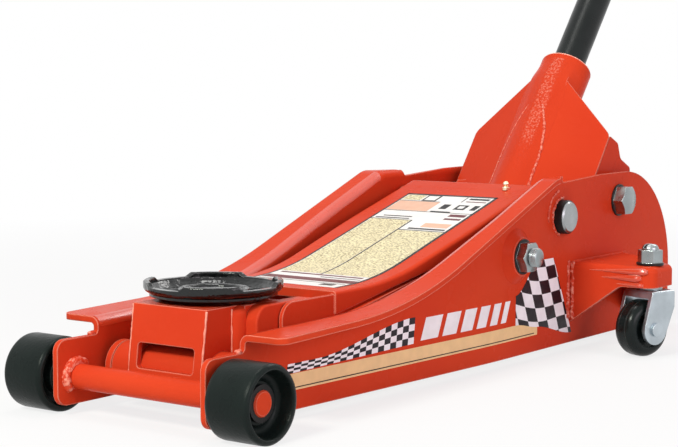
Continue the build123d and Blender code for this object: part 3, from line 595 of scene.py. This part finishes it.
# Rear edge of the arm cover, and filler on the head

COVER_REAR, COVER_TOP, COVER_SLOPE = 461, 157.5, 0.288
COVER_HALF, COVER_ROUND = 72, 3
LIP_START, LIP_LENGTH = 449, 21
LIP_SUNK, LIP_RISE, LIP_RUN = 0.15, 0.27, 6
LIP_THICKNESS = 3.6


def cover_lip():
    """The rear edge of the arm cover, drawn out over the round ends of the arm plates."""
    def place(across, along):
        x = LIP_START + LIP_LENGTH * (along + 1) / 2
        edge = COVER_ROUND - LIP_SUNK + LIP_RISE * ease((x - LIP_START) / LIP_RUN)
        turn = math.radians(90 * max(0, abs(across) - FLAT_SHARE) / (1 - FLAT_SHARE))
        flat = (COVER_HALF - COVER_ROUND) * min(abs(across) / FLAT_SHARE, 1)
        low = COVER_TOP - COVER_ROUND + COVER_SLOPE * (x - COVER_REAR)
        y = math.copysign(flat + edge * math.sin(turn), across)
        return at(x, y, low + edge * math.cos(turn))

    thicken(laid_grid(columns=80, rows=10, place=place), LIP_THICKNESS)
    face_outwards()
    return done("cover_rear_lip", red, "arm")


FILLER_MIDDLE, FILLER_REACH = 66, 22
FILLER_X, FILLER_OFF = 66.4, 37.8
FILLER_DEEP, FILLER_WIDE = 9.4, 7.6
# Where the filler starts to close at its top, over which height, and how much of it goes
FILLER_CLOSE, FILLER_CLOSE_RUN, FILLER_CLOSE_SHARE = 80, 8, 0.97


def head_seam(side):
    """The rounded run of filler between the head bracket and its cheek."""
    def place(across, up):
        turn = math.radians(90 * (across + 1) / 2)
        z = FILLER_MIDDLE + FILLER_REACH * up
        full = math.sqrt(1 - FILLER_CLOSE_SHARE * max(0, (z - FILLER_CLOSE) / FILLER_CLOSE_RUN) ** 3)
        x = FILLER_X - FILLER_DEEP * full * math.cos(turn)
        return at(x, side * (FILLER_OFF + FILLER_WIDE * full * math.sin(turn)), z)

    piece = laid_grid(columns=14, rows=24, place=place)
    face_outwards()
    return piece


cover_lip()
join([head_seam(side) for side in SIDES])
done("head_seams", red, "head")


# Welds

# The length of a ripple and the weave of a millimetre of width, both in metres
RIPPLE, WEAVE = 0.0021, 1 / 2100
# A wire with a stop's radius set to 1 is one millimetre thick
WIRE_RADIUS = 0.0005
ARC_STEPS = 10


def wire(points, thickness):
    """A round wire through points, with its own thickness in millimetres at each."""
    deselect()
    curve = bpy.data.curves.new("wire", "CURVE")
    curve.dimensions = "3D"
    curve.bevel_depth = WIRE_RADIUS
    curve.bevel_resolution = 2
    curve.use_fill_caps = True
    path = curve.splines.new("POLY")
    path.points.add(len(points) - 1)
    for stop, place, wide in zip(path.points, points, thickness):
        stop.co = (*place, 1)
        stop.radius = wide
    piece = bpy.data.objects.new("wire", curve)
    bpy.context.scene.collection.objects.link(piece)
    piece.select_set(True)
    bpy.context.view_layer.objects.active = piece
    bpy.ops.object.convert(target="MESH")
    edit_all()
    bpy.ops.mesh.remove_doubles(threshold=MERGE_DISTANCE)
    bpy.ops.object.mode_set(mode="OBJECT")
    return bpy.context.object


def weld(points, width, rough=0.3):
    """A weld along a line: a wire that swells and shrinks with the ripples."""
    stops = []
    for start, end in zip(points, points[1:]):
        steps = max(1, round((end - start).length / RIPPLE))
        stops += [start.lerp(end, step / steps) for step in range(steps)]
    stops.append(points[-1])
    reach = rough * width * WEAVE
    uneven = [stop + Vector([random.uniform(-reach, reach) for axis in range(3)]) for stop in stops]
    swell = [width * random.uniform(1 - rough, 1 + rough) for stop in stops]
    piece = wire(uneven, swell)
    smooth = piece.modifiers.new("smooth", "SUBSURF")
    smooth.levels = smooth.render_levels = 1
    apply_modifiers(piece)
    return piece


def weld_round(pin, y, radius, width, first, last, rough=0.3):
    """A weld round part of a pin that lies across the jack, from one angle to another."""
    x, z = pin
    turns = [math.radians(first + (last - first) * step / ARC_STEPS) for step in range(ARC_STEPS + 1)]
    ring = [at(x + radius * math.cos(turn), y, z + radius * math.sin(turn)) for turn in turns]
    return weld(ring, width, rough)


def seam(side, start, end, width, rough=0.3):
    """A straight weld on one side; both ends give x, the distance from the middle line, and z."""
    return weld([at(x, side * off, z) for x, off, z in (start, end)], width, rough)


EAR_INSIDE, EAR_OUTSIDE = 71.8, 75.6
BRACKET_FRONT, BRACKET_BACK = 500.6, 617
BRACKET_FOOT, BRACKET_TOP = 29, 86
TIE_FOOT, TIE_BACK, TIE_OFF = 18.4, 694, 87.4


def frame_weld_runs(side):
    """The rippled welds of the axle, the ear, the caster bracket and the arm shaft."""
    near_off = REAR_FACE + 0.2
    front_off = REAR_FACE + 1.6
    ear_front, ear_rear = (17, EAR_OUTSIDE, 60.2), (22.4, EAR_OUTSIDE, 60.8)
    front_foot, front_top = (BRACKET_FRONT, front_off, BRACKET_FOOT), (BRACKET_FRONT, front_off, BRACKET_TOP)
    corner_foot, corner_top = (494.6, near_off, 32), (495.4, near_off, 88)
    return [
        weld_round(FRONT_AXLE, side * EAR_INSIDE, radius=12, width=8.6, first=40, last=235, rough=0.07),
        seam(side, ear_front, ear_rear, width=5.6, rough=0.08),
        seam(side, front_foot, front_top, width=5),
        seam(side, corner_foot, corner_top, width=4.2),
        weld_round(ARM_PIVOT, side * near_off, radius=18, width=3, first=80, last=250),
        weld_round(ARM_PIVOT, side * REAR_FACE, radius=26, width=2.6, first=105, last=190),
    ]


def smooth_weld_runs(side):
    """The welds on top of the caster bracket, behind it and round the rear tie plate."""
    top_off = REAR_FACE + 0.4
    back_off = REAR_FACE + 0.6
    top_front, top_rear = (503, top_off, BRACKET_TOP), (616, top_off, BRACKET_TOP)
    back_foot, back_top = (BRACKET_BACK, back_off, BRACKET_FOOT), (BRACKET_BACK, back_off, 85)
    tie_front, tie_rear = (595, TIE_OFF, TIE_FOOT), (689, TIE_OFF, TIE_FOOT)
    tie_low, tie_high = (TIE_BACK, TIE_OFF, 19), (TIE_BACK, TIE_OFF, 85)
    return [
        seam(side, top_front, top_rear, width=3),
        seam(side, back_foot, back_top, width=4),
        seam(side, tie_front, tie_rear, width=4.5),
        seam(side, tie_low, tie_high, width=4.5),
    ]


HEAD_FRONT, HEAD_FOOT, HEAD_LEAN = 20.5, 30, 0.13
HEAD_EDGE_OFF, HEAD_SIDE_OFF = 37.4, 38.2
HEAD_WELD_PROUD = 0.8
HEAD_EDGE_LOW, HEAD_EDGE_HIGH = 34, 87
CHEEK_FRONT, CHEEK_FOOT = 57.4, 44.4


def head_weld_runs(side):
    """Seams along the front edges of the head bracket and the welds of its cheek, all painted pale in clouds
    as highlights.
    """
    def front_edge(z):
        return HEAD_FRONT + HEAD_LEAN * (z - HEAD_FOOT) + HEAD_WELD_PROUD, HEAD_EDGE_OFF, z

    cheek_low, cheek_high = (CHEEK_FRONT, HEAD_SIDE_OFF, 46), (CHEEK_FRONT, HEAD_SIDE_OFF, 86)
    corner_front, corner_rear = (26, 38, 33), (31, HEAD_SIDE_OFF, 44)
    foot_front, foot_rear = (36, HEAD_SIDE_OFF, CHEEK_FOOT), (64, HEAD_SIDE_OFF, CHEEK_FOOT)
    return [
        seam(side, front_edge(HEAD_EDGE_LOW), front_edge(HEAD_EDGE_HIGH), width=1.9),
        seam(side, cheek_low, cheek_high, width=1.8),
        seam(side, corner_front, corner_rear, width=3.4),
        seam(side, foot_front, foot_rear, width=2.4),
    ]


# The valley between the socket's tube and its fold, as places along the handle and across it
SOCKET_VALLEY = ((-80, 8), (-93, 13.5), (-110, 18.5), (-135, 22), (-178, 22.6))
VALLEY_SUNK = 0.3
VALLEY_WIDTHS = {NEAR: 3.0, FAR: 1.8}


def socket_weld_runs(side):
    """The weld down the valley beside the socket's ridge."""
    valley = [
        on_socket(along, side * across, skin_out(along, across) - VALLEY_SUNK)
        for along, across in SOCKET_VALLEY
    ]
    return [weld(valley, VALLEY_WIDTHS[side])]


WELDS = (
    ("frame_welds", frame_weld_runs, weld_red, "frame"),
    ("smooth_welds", smooth_weld_runs, red, "frame"),
    ("head_welds", head_weld_runs, seam_red, "head"),
    ("socket_welds", socket_weld_runs, weld_red, "socket"),
)
welds = {name: [] for name, runs, look, body in WELDS}
for side in SIDES:
    for name, runs, look, body in WELDS:
        welds[name] += runs(side)
for name, runs, look, body in WELDS:
    join(welds[name])
    done(name, look, body)


# Pressed ridges and bends

# Inner and outer end of each ridge on a bracket's front, as a distance off the middle line and a z,
# and its width
RIDGES = (
    ((110, 80), (174, 81.5), 8.0),
    ((124, 74), (168, 75.2), 9.0),
    ((140, 68.8), (170, 68.4), 6.0),
)
RIDGE_FRONT = 500.4
RIDGE_STEPS = 16
# The width of a ridge at its thin end, and how it closes at the other
RIDGE_TIP, RIDGE_CLOSE_SLOPE, RIDGE_END_SHARE = 0.4, 8, 0.35


def pressed_ridge(side, inner, outer, width):
    """A ridge that swells from its inner end and closes shortly before the outer one."""
    places = []
    widths = []
    for step in range(RIDGE_STEPS + 1):
        share = step / RIDGE_STEPS
        off, z = (low + (high - low) * share for low, high in zip(inner, outer))
        places.append(at(RIDGE_FRONT, side * off, z))
        closing = min(1, RIDGE_CLOSE_SLOPE * (1 - share) + RIDGE_END_SHARE)
        widths.append(RIDGE_TIP + width * share * closing)
    return wire(places, widths)


FLANGE_START, FLANGE_LENGTH = 27.5, 412.5
# Where the flange's top is felt for, outside the plate's face and from above
FLANGE_FEEL, ABOVE_ALL = 3.5, 300
STRIP_RADIUS = 9.5
# How far strips and prints lie off their carriers
FILM_LIFT, FLAG_LIFT, INK_LIFT, TOP_INK_LIFT = 0.12, 0.16, 0.2, 0.28


def flange_bend(side):
    """A glossy strip over the rounded bend between a side plate and its flange."""
    plate = cad[SIDE_NAMES[side] + "_side_plate"]

    def place(across, along):
        x = FLANGE_START + FLANGE_LENGTH * along
        over = at(x, side * (plate_face(x) + FLANGE_FEEL), ABOVE_ALL)
        top = plate.ray_cast(over, (0, 0, -1))[1]
        turn = math.radians(90 * (across if side == NEAR else 1 - across))
        middle = plate_face(x) - PLATE_THICKNESS + BEND_RADIUS
        z = 1000 * top.z - BEND_RADIUS + STRIP_RADIUS * math.sin(turn)
        return at(x, side * (middle - STRIP_RADIUS * math.cos(turn)), z)

    return patch(place, columns=8, rows=90, carrier=plate.name, lift=FILM_LIFT)


join([pressed_ridge(side, *ridge) for side in SIDES for ridge in RIDGES])
done("bracket_ridges", ridge_red, "frame")
join([flange_bend(side) for side in SIDES])
done("flange_bends", bend_red, "frame")


# Turned wheels, washers, saddle and grip; a profile gives radii and places along the axis

WHEEL_PROFILE = [
    (10.06, -20), (15.6, -20), (16.5, -19.2), (16.5, -11), (24.3, -11), (24.8, -19), (25.6, -20), (27, -20),
    (28.7, -19.4), (29.7, -18), (30, -16), (30, 16), (29.7, 18), (28.7, 19.4), (27, 20), (25.9, 20),
    (25.2, 19.4), (24.7, 17.6), (23.4, 9.6), (22.2, 7), (20.4, 6), (18.2, 5.8), (17.2, 6.2), (16.6, 7.2),
    (15.8, 8), (10.06, 8),
]
HALF_TYRE = [
    (5.06, -12), (8.3, -12), (9, -11.3), (9.2, -9.4), (9.8, -9), (16.6, -9), (17.3, -9.4), (17.7, -11.4),
    (18.5, -12), (20, -12), (22.8, -11.3), (25.1, -9.3), (26.5, -6.8), (26.9, -4.8), (26.6, -4.3),
    (27, -3.8),
]
TYRE_PROFILE = HALF_TYRE + [(radius, -height) for radius, height in reversed(HALF_TYRE)]
STUD_WASHER = [(8.2, 86.1), (12.4, 86.1), (12.9, 86.6), (12.9, 88.2), (12.4, 88.6), (8.2, 88.6)]
WHEEL_OFF = 104
STEM_X, STEM_OFF = 523, 165.5
CASTER_TURN, CASTER_TRAIL, CASTER_AXLE = math.radians(18), 10, 27

for side in SIDES:
    name = SIDE_NAMES[side]
    wheel_place = at(FRONT_AXLE[0], side * WHEEL_OFF, FRONT_AXLE[1])
    wheel = stand(turned_ring(WHEEL_PROFILE, steps=72), wheel_place, (0, side, 0))
    done(name + "_lathe_wheel", wheel_black, name + "_wheel")
    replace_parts(wheel, name + "_front_wheel")
    tyre_x = STEM_X - CASTER_TRAIL * math.cos(CASTER_TURN)
    tyre_off = STEM_OFF - CASTER_TRAIL * math.sin(CASTER_TURN)
    outwards = (-math.sin(CASTER_TURN), side * math.cos(CASTER_TURN), 0)
    tyre_place = at(tyre_x, side * tyre_off, CASTER_AXLE)
    tyre = stand(turned_ring(TYRE_PROFILE, steps=64), tyre_place, outwards)
    done(name + "_lathe_tyre", tyre_black, name + "_caster_roller")
    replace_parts(tyre, name + "_caster_wheel")
    washer = turned_ring(STUD_WASHER)
    washer.location = at(STEM_X, side * STEM_OFF, 0)
    done(name + "_stud_washer", dark_ring, name + "_caster")

SADDLE_X = 80.6
SADDLE_RING = [
    (21, 92), (21, 95.6), (22, 97), (24, 97.6), (26.5, 97.6), (28.5, 96.8), (29.5, 95), (31, 92),
]
SADDLE_FILLET = [(51, 92), (51, 99.4), (50.2, 99), (48.4, 95.8), (45.5, 93.9), (41, 93), (38, 92)]
for name, profile, steps in (("saddle_ring", SADDLE_RING, 56), ("saddle_fillet", SADDLE_FILLET, 72)):
    piece = turned_ring(profile, steps)
    piece.location = at(SADDLE_X, 0, 0)
    done(name, saddle_black, "saddle_top")

GRIP_START, GRIP_LENGTH = 855, 150
GRIP_RADIUS, GRIP_BORE, GRIP_CAP = 20, 17.05, 5
GROOVES, FIRST_GROOVE, GROOVE_PITCH = 11, 8, 11
GROOVE = ((20, 0), (19, 0.9), (18.7, 2.4), (19, 3.9), (20, 4.8))


def ribbed_grip():
    """The rubber grip on the end of the handle, with its grooves and its closed top."""
    inside = GRIP_LENGTH - GRIP_CAP
    profile = [(POINT, inside), (GRIP_BORE, inside), (GRIP_BORE, 0), (19, 0), (GRIP_RADIUS, 1.2)]
    for groove in range(GROOVES):
        start = FIRST_GROOVE + GROOVE_PITCH * groove
        profile += [(radius, start + along) for radius, along in GROOVE]
    profile += [(GRIP_RADIUS, GRIP_LENGTH - 2), (19.3, GRIP_LENGTH - 0.4), (18, GRIP_LENGTH)]
    profile.append((POINT, GRIP_LENGTH))
    return stand(turned(profile), on_socket(GRIP_START, 0, 0), HANDLE_UP)


grip = ribbed_grip()
done("ribbed_grip", rubber, "handle")
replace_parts(grip, "handle_grip")


# Bolts and nuts on the side plates; a profile gives radii and distances from the middle line

BOLT_SHANK = [(POINT, 63), (9, 63), (9, 97), (POINT, 97)]
BOLT_WASHER = [(9, 93), (15.6, 93), (16, 93.4), (16, 94.6), (15.6, 95), (9, 95)]
NUT_WASHER = [(8.1, 100.4), (16.2, 100.4), (16.2, 101.4), (8.1, 101.4)]
ANCHOR_BOSS = [
    (8.1, 90), (28, 90), (25.5, 93), (21.5, 96.2), (18.6, 99.2), (17.4, 100.5), (8.1, 100.5),
]
SHAFT_SLEEVE = [(14, 92.5), (16.2, 92.5), (16.2, 100.2), (15.4, 101.4), (14, 101.4)]
THREADS, THREAD_START, THREAD_PITCH = 4, 110.6, 1.5
THREAD = ((8.1, 0.1), (8.8, 0.6), (8.1, 1.1))
THREAD_END = [(8.3, 116.8), (7.4, 117.6), (5.6, 118), (POINT, 118.2)]
THREAD_FOOT = (6.0, 110)


def on_pin(piece, pin, side):
    """Stands a piece on a pin that lies across the jack, pointing out on its side."""
    return stand(piece, at(pin[0], 0, pin[1]), (0, side, 0))


def socket_bolt(side):
    """Head, shank, washer and inner nut of the bolt on which the socket swings."""
    pieces = [
        hexagon(across_flats=27, low=95, high=106, look=bolt_zinc),
        coated(turned(BOLT_SHANK, steps=40), bolt_zinc),
        coated(turned_ring(BOLT_WASHER), dark_ring),
        hexagon(across_flats=26, low=63, high=71.6, look=bolt_zinc),
    ]
    return [on_pin(piece, SOCKET_PIVOT, side) for piece in pieces]


def anchor_nut(side):
    """The nut of a levelling link's anchor bolt, with its washer."""
    pieces = [
        hexagon(across_flats=26, low=101.4, high=110.6, look=bolt_zinc),
        coated(turned_ring(NUT_WASHER), dark_ring),
    ]
    return [on_pin(piece, LINK_ANCHOR, side) for piece in pieces]


def anchor_bolt_end(side):
    """The threaded end of the anchor bolt, outside its nut."""
    profile = [THREAD_FOOT]
    for turn in range(THREADS):
        low = THREAD_START + THREAD_PITCH * turn
        profile += [(radius, low + along) for radius, along in THREAD]
    return on_pin(coated(turned(profile + THREAD_END, steps=40), bolt_zinc), LINK_ANCHOR, side)


def anchor_boss(side):
    """The raised cone of the side plate round the anchor bolt."""
    return on_pin(turned_ring(ANCHOR_BOSS), LINK_ANCHOR, side)


def shaft_sleeve(side):
    """A dark ring round an end of the arm's pivot shaft, where its side shows dark."""
    return on_pin(coated(turned_ring(SHAFT_SLEEVE), dark_ring), ARM_PIVOT, side)


socket_bolts = []
anchor_nuts = []
pressed_bosses = []
anchor_threads = []
shaft_rings = []
for side in SIDES:
    socket_bolts += socket_bolt(side)
    anchor_nuts += anchor_nut(side)
    pressed_bosses.append(anchor_boss(side))
    anchor_threads.append(anchor_bolt_end(side))
    shaft_rings.append(shaft_sleeve(side))
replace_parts(join(socket_bolts), "socket_pivot_bolts")
done("socket_bolts", None, "frame")
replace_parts(join(anchor_nuts), "link_anchor_nuts")
done("anchor_nuts", None, "frame")
join(anchor_threads)
done("anchor_bolt_ends", None, "frame")
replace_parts(join(pressed_bosses), "boss_rings")
done("anchor_bosses", red, "frame")
join(shaft_rings)
done("arm_shaft_rings", None, "frame")


# Printed decoration on the side plates

PRINT_OFF = 0.3
STRIPE_START, STRIPE_LENGTH = 74, 362
STRIPE_LOW, STRIPE_HIGH = 23.4, 36.6
LINE_START, LINE_LENGTH = 80, 350
LINE_LOW, LINE_WIDTH = STRIPE_LOW + 1.6, 0.9
BAR_WIDTHS = (25.0, 21.0, 18.0, 15.0, 12.0, 9.0)
BAR_START, BAR_GAP, BAR_LEAN = 246.0, 6.5, 8
BAR_LOW, BAR_HEIGHT = 41.5, 19


def stripe(across, up):
    return STRIPE_START + STRIPE_LENGTH * across, STRIPE_LOW + (STRIPE_HIGH - STRIPE_LOW) * up


def stripe_line(across, up):
    return LINE_START + LINE_LENGTH * across, LINE_LOW + LINE_WIDTH * up


TAPER_START, TAPER_LENGTH, TAPER_LEAN = 72, 164, 2.5
TAPER_LOW, TAPER_LOW_RISE = 36.8, 3.4
TAPER_HIGH, TAPER_HIGH_RISE, TAPER_RISE_START, TAPER_RISE_RUN = 44.5, 18, 105, 130


def tapered_flag(across, up):
    """A band of small squares that widens to the rear."""
    x = TAPER_START + TAPER_LENGTH * across
    low = TAPER_LOW + TAPER_LOW_RISE * across
    high = TAPER_HIGH + TAPER_HIGH_RISE * ease((x - TAPER_RISE_START) / TAPER_RISE_RUN)
    return x + TAPER_LEAN * up, low + (high - low) * up


FLAG_START, FLAG_LENGTH, FLAG_LEAN = 396, 107, 37
FLAG_HIGH, FLAG_RISE, FLAG_RISE_SHARE = 64, 29, 0.62
# The flag's lower edge falls in two steps, each given by its depth, its start and its length as shares
FLAG_LOW, FLAG_FALLS = 36.6, ((6, 0, 0.4), (13, 0.35, 0.65))


def waving_flag(across, up):
    """A flag that opens to the rear and leans forwards at its top."""
    low = FLAG_LOW
    for depth, start, share in FLAG_FALLS:
        low -= depth * ease((across - start) / share)
    high = FLAG_HIGH + FLAG_RISE * ease(across / FLAG_RISE_SHARE)
    return FLAG_START + FLAG_LENGTH * across - FLAG_LEAN * up * across, low + (high - low) * up


def slanted_bar(start, width):
    """The outline of one of the slanted bars between the flags."""
    def bar(across, up):
        return start + width * across + BAR_LEAN * up, BAR_LOW + BAR_HEIGHT * up
    return bar


SQUARE_LENGTH, SQUARE_HEIGHT = 17.5, 12.8
COLUMN_START, COLUMN_LEAN, LEAN_HEIGHT = 392, 0.42, 60
ROW_FALL, FALL_START = 0.10, 440
WAVE_HEIGHT, WAVE_START, WAVE_LENGTH = 3.5, 400, 22


def wave_squares(flag):
    """Lays the squares of the waving flag on its UV map, leaning and in waves."""
    cells = flag.data.uv_layers.active.data
    for loop in flag.data.loops:
        corner = flag.data.vertices[loop.vertex_index].co
        x = corner.x * 1000 + AXLE_BEFORE_MIDDLE
        z = corner.z * 1000
        column = (x + COLUMN_LEAN * (z - LEAN_HEIGHT) - COLUMN_START) / SQUARE_LENGTH
        wave = WAVE_HEIGHT * math.sin((x - WAVE_START) / WAVE_LENGTH)
        row = (z + ROW_FALL * (x - FALL_START) + wave) / SQUARE_HEIGHT
        cells[loop.index].uv = (column, row)


def side_print(side):
    """The stripe, the two flags and the slanted bars on one side plate."""
    carrier = SIDE_NAMES[side] + "_side_plate"

    def sheet(outline, look, columns, rows, lift=FILM_LIFT):
        def place(across, up):
            x, z = outline(across if side == NEAR else 1 - across, up)
            return at(x, side * (plate_face(x) + PRINT_OFF), z)
        return coated(patch(place, columns, rows, carrier, lift), look)

    made = [
        sheet(stripe, side_sand, columns=60, rows=3),
        sheet(stripe_line, label_ink, columns=60, rows=1, lift=INK_LIFT),
        sheet(tapered_flag, small_flag, columns=40, rows=8, lift=FLAG_LIFT),
        sheet(waving_flag, large_flag, columns=24, rows=20, lift=FLAG_LIFT),
    ]
    wave_squares(made[-1])
    start = BAR_START
    for width in BAR_WIDTHS:
        made.append(sheet(slanted_bar(start, width), side_white, columns=4, rows=3))
        start += width + BAR_GAP
    join(made)
    return done(SIDE_NAMES[side] + "_side_print", None, "frame")


for side in SIDES:
    side_print(side)


# Label on the arm cover: each field's front and rear, its two sides across the cover, and its ink

LABEL_SHEET = (176, 434, -51, 51, label_white)
LABEL_LINES = (
    (176.4, 433.8, 48.8, 51, label_ink),
    (176.4, 433.8, -51, -48.2, label_ink),
    (430.6, 433.8, -51, 51, label_ink),
    (226, 366, 1.6, 3.2, label_ink),
    (342.6, 344, -48, 2, label_ink),
    (366, 367.2, 2, 49, label_ink),
)
LABEL_BLOCKS = (
    (228, 366, 3.6, 48, label_cream),
    (228, 342, -48, 1.6, label_cream),
    (417, 430, 27, 48, label_cream),
    (416, 431, 9, 25, label_ink),
    (418, 429, 11, 23, label_white),
    (390, 414, 2, 48, label_pink),
    (389, 392, -24, -2, label_ink),
    (417, 430, -20.4, -19.2, label_ink),
    (424, 428, -46, -24, label_ink),
    (418, 420, -46, -24, label_maroon),
    (398, 410, -14, -6, label_ink),
    (398, 410, -34, -22, label_ink),
    (401, 407, -31, -25, label_white),
    (398, 410, -46, -40, label_ink),
    (352, 362, -45, -16, label_pink),
    (200, 212, -48, 48, label_maroon),
    (222, 225.5, -44, 44, label_maroon),
    (194, 195.6, -46, 46, label_ink),
    (216, 218, -46, -4, label_ink),
    (369, 371, 8, 46, label_ink),
    (374, 376, 8, 40, label_ink),
    (346, 349, -46, -6, label_ink),
    (380, 386, -46, -28, label_maroon),
    (372, 376, -46, -28, label_maroon),
    (414.4, 415.4, 2, 49, label_ink),
    (388.4, 389.4, -49, 49, label_ink),
    (184, 192, -40, -26, label_ink),
    (184, 192, 20, 40, label_ink),
)
# Where fields are laid before they are pressed on the cover: level in front, then rising
FIELD_HEIGHT, FIELD_RISE_START, FIELD_RISE = 92, 225, 0.29
FIELD_STEP = 4


def label_field(front, rear, first, last, look, lift):
    """One printed rectangle of the label, bent with the cover."""
    def place(across, along):
        x = front + (rear - front) * along
        z = FIELD_HEIGHT + FIELD_RISE * max(0, x - FIELD_RISE_START)
        return at(x, last + (first - last) * across, z)

    steps = max(1, int((rear - front) / FIELD_STEP))
    return coated(patch(place, columns=2, rows=steps, carrier="arm_cover", lift=lift), look)


def cover_label():
    """A white label with ruled fields, of which the small white ones lie on top of black."""
    made = [label_field(*LABEL_SHEET, FILM_LIFT)]
    for field in LABEL_LINES + LABEL_BLOCKS:
        made.append(label_field(*field, TOP_INK_LIFT if field[-1] is label_white else INK_LIFT))
    join(made)
    return done("cover_label", None, "arm")


cover_label()


# Camera, floor and light, with places and sizes in metres

EYE = at(-920.08, -857.2, 265.96)
LOOK = Vector((0.8032, 0.5889, -0.0892))
ROLL = math.radians(0.07)
SENSOR_WIDTH, FOCAL_LENGTH = 36.0, 88.47
WHITE = (1, 1, 1, 1)
FLOOR_SIZE, FLOOR_GREY = 30, (0.76, 0.76, 0.76, 1)
# The floor's own white, near the jack and further away, and where it changes
NEAR_WHITE, FAR_WHITE = 0.78, 1.0
WHITE_START, WHITE_END = 0.5, 1.5
SKY_COLOUR, SKY_STRENGTH = (1.0, 0.91, 0.98, 1), 0.44


def photo_camera():
    """The camera at the photograph's viewing angle."""
    lens = bpy.data.cameras.new("view")
    lens.sensor_fit = "HORIZONTAL"
    lens.sensor_width = SENSOR_WIDTH
    lens.lens = FOCAL_LENGTH
    camera = bpy.data.objects.new("view", lens)
    bpy.context.scene.collection.objects.link(camera)
    camera.location = EYE
    camera.rotation_mode = "QUATERNION"
    camera.rotation_quaternion = LOOK.to_track_quat("-Z", "Y") @ Quaternion((0, 0, 1), ROLL)
    bpy.context.scene.camera = camera


def seen_directly(owner):
    """1 for rays that show the background: straight, mirrored or through glass."""
    path = add(owner, "LightPath")
    total = path.outputs["Is Camera Ray"]
    for name in ("Is Glossy Ray", "Is Transmission Ray"):
        either = add(owner, "Math", operation="MAXIMUM")
        link(owner, total, either.inputs[0])
        link(owner, path.outputs[name], either.inputs[1])
        total = either.outputs[0]
    return total


def mixed(owner, output, share, first, second):
    """Ends a node tree with a shader that is the first where share is 0 and the second where it is 1."""
    mix = add(owner, "MixShader")
    link(owner, share, mix.inputs[0])
    link(owner, first.outputs[0], mix.inputs[1])
    link(owner, second.outputs[0], mix.inputs[2])
    link(owner, mix.outputs[0], add(owner, output).inputs["Surface"])


def studio_floor():
    """A pale floor that keeps the shadow near the jack and is white further away."""
    deselect()
    bpy.ops.mesh.primitive_plane_add(size=FLOOR_SIZE)
    floor = bpy.context.object
    floor.name = "studio_floor"
    made = bpy.data.materials.new("pale floor")
    made.use_nodes = True
    made.node_tree.nodes.clear()
    matt = add(made, "BsdfDiffuse", {"Color": FLOOR_GREY})
    glow = add(made, "Emission", {"Color": WHITE, "Strength": 1.0})
    away = add(made, "VectorMath", operation="LENGTH")
    link(made, add(made, "TexCoord").outputs["Object"], away.inputs[0])
    whiter = spread(made, away.outputs["Value"], NEAR_WHITE, FAR_WHITE, WHITE_START, WHITE_END)
    mixed(made, "OutputMaterial", product(made, seen_directly(made), whiter), matt, glow)
    floor.data.materials.append(made)


def studio_sky():
    """Soft light from all round, in front of a white background."""
    world = bpy.data.worlds.new("studio")
    bpy.context.scene.world = world
    world.use_nodes = True
    world.node_tree.nodes.clear()
    soft = add(world, "Background", {"Color": SKY_COLOUR, "Strength": SKY_STRENGTH})
    white = add(world, "Background", {"Color": WHITE, "Strength": 1.0})
    mixed(world, "OutputWorld", seen_directly(world), soft, white)


def softbox(name, place, aim, size, power, colour):
    """A rectangular lamp that looks from its place to its aim, with its power in watts."""
    lamp = bpy.data.lights.new(name, "AREA")
    lamp.shape = "RECTANGLE"
    lamp.size, lamp.size_y = size
    lamp.energy = power
    lamp.color = colour
    holder = bpy.data.objects.new(name, lamp)
    bpy.context.scene.collection.objects.link(holder)
    holder.location = place
    holder.rotation_euler = (Vector(aim) - Vector(place)).to_track_quat("-Z", "Y").to_euler()


photo_camera()
studio_floor()
studio_sky()
softbox(
    "front softbox", place=(-2.5, -0.15, 1.8), aim=(-0.3, 0, 0.1),
    size=(0.6, 0.5), power=54, colour=(0.96, 1.0, 0.88),
)
softbox(
    "top softbox", place=(-0.2, 0.2, 2.3), aim=(-0.2, 0, 0.1),
    size=(0.7, 0.5), power=9, colour=(1.0, 1.0, 0.96),
)
softbox(
    "side softbox", place=(-0.7, -2.5, 0.9), aim=(-0.1, 0, 0.1),
    size=(1.6, 1.0), power=18, colour=(1.0, 0.86, 0.95),
)
softbox(
    "back softbox", place=(1.7, -0.15, 1.8), aim=(-0.1, 0, 0.1),
    size=(1.6, 0.5), power=12, colour=(1.0, 0.98, 0.96),
)
bpy.context.scene.view_settings.view_transform = "Standard"
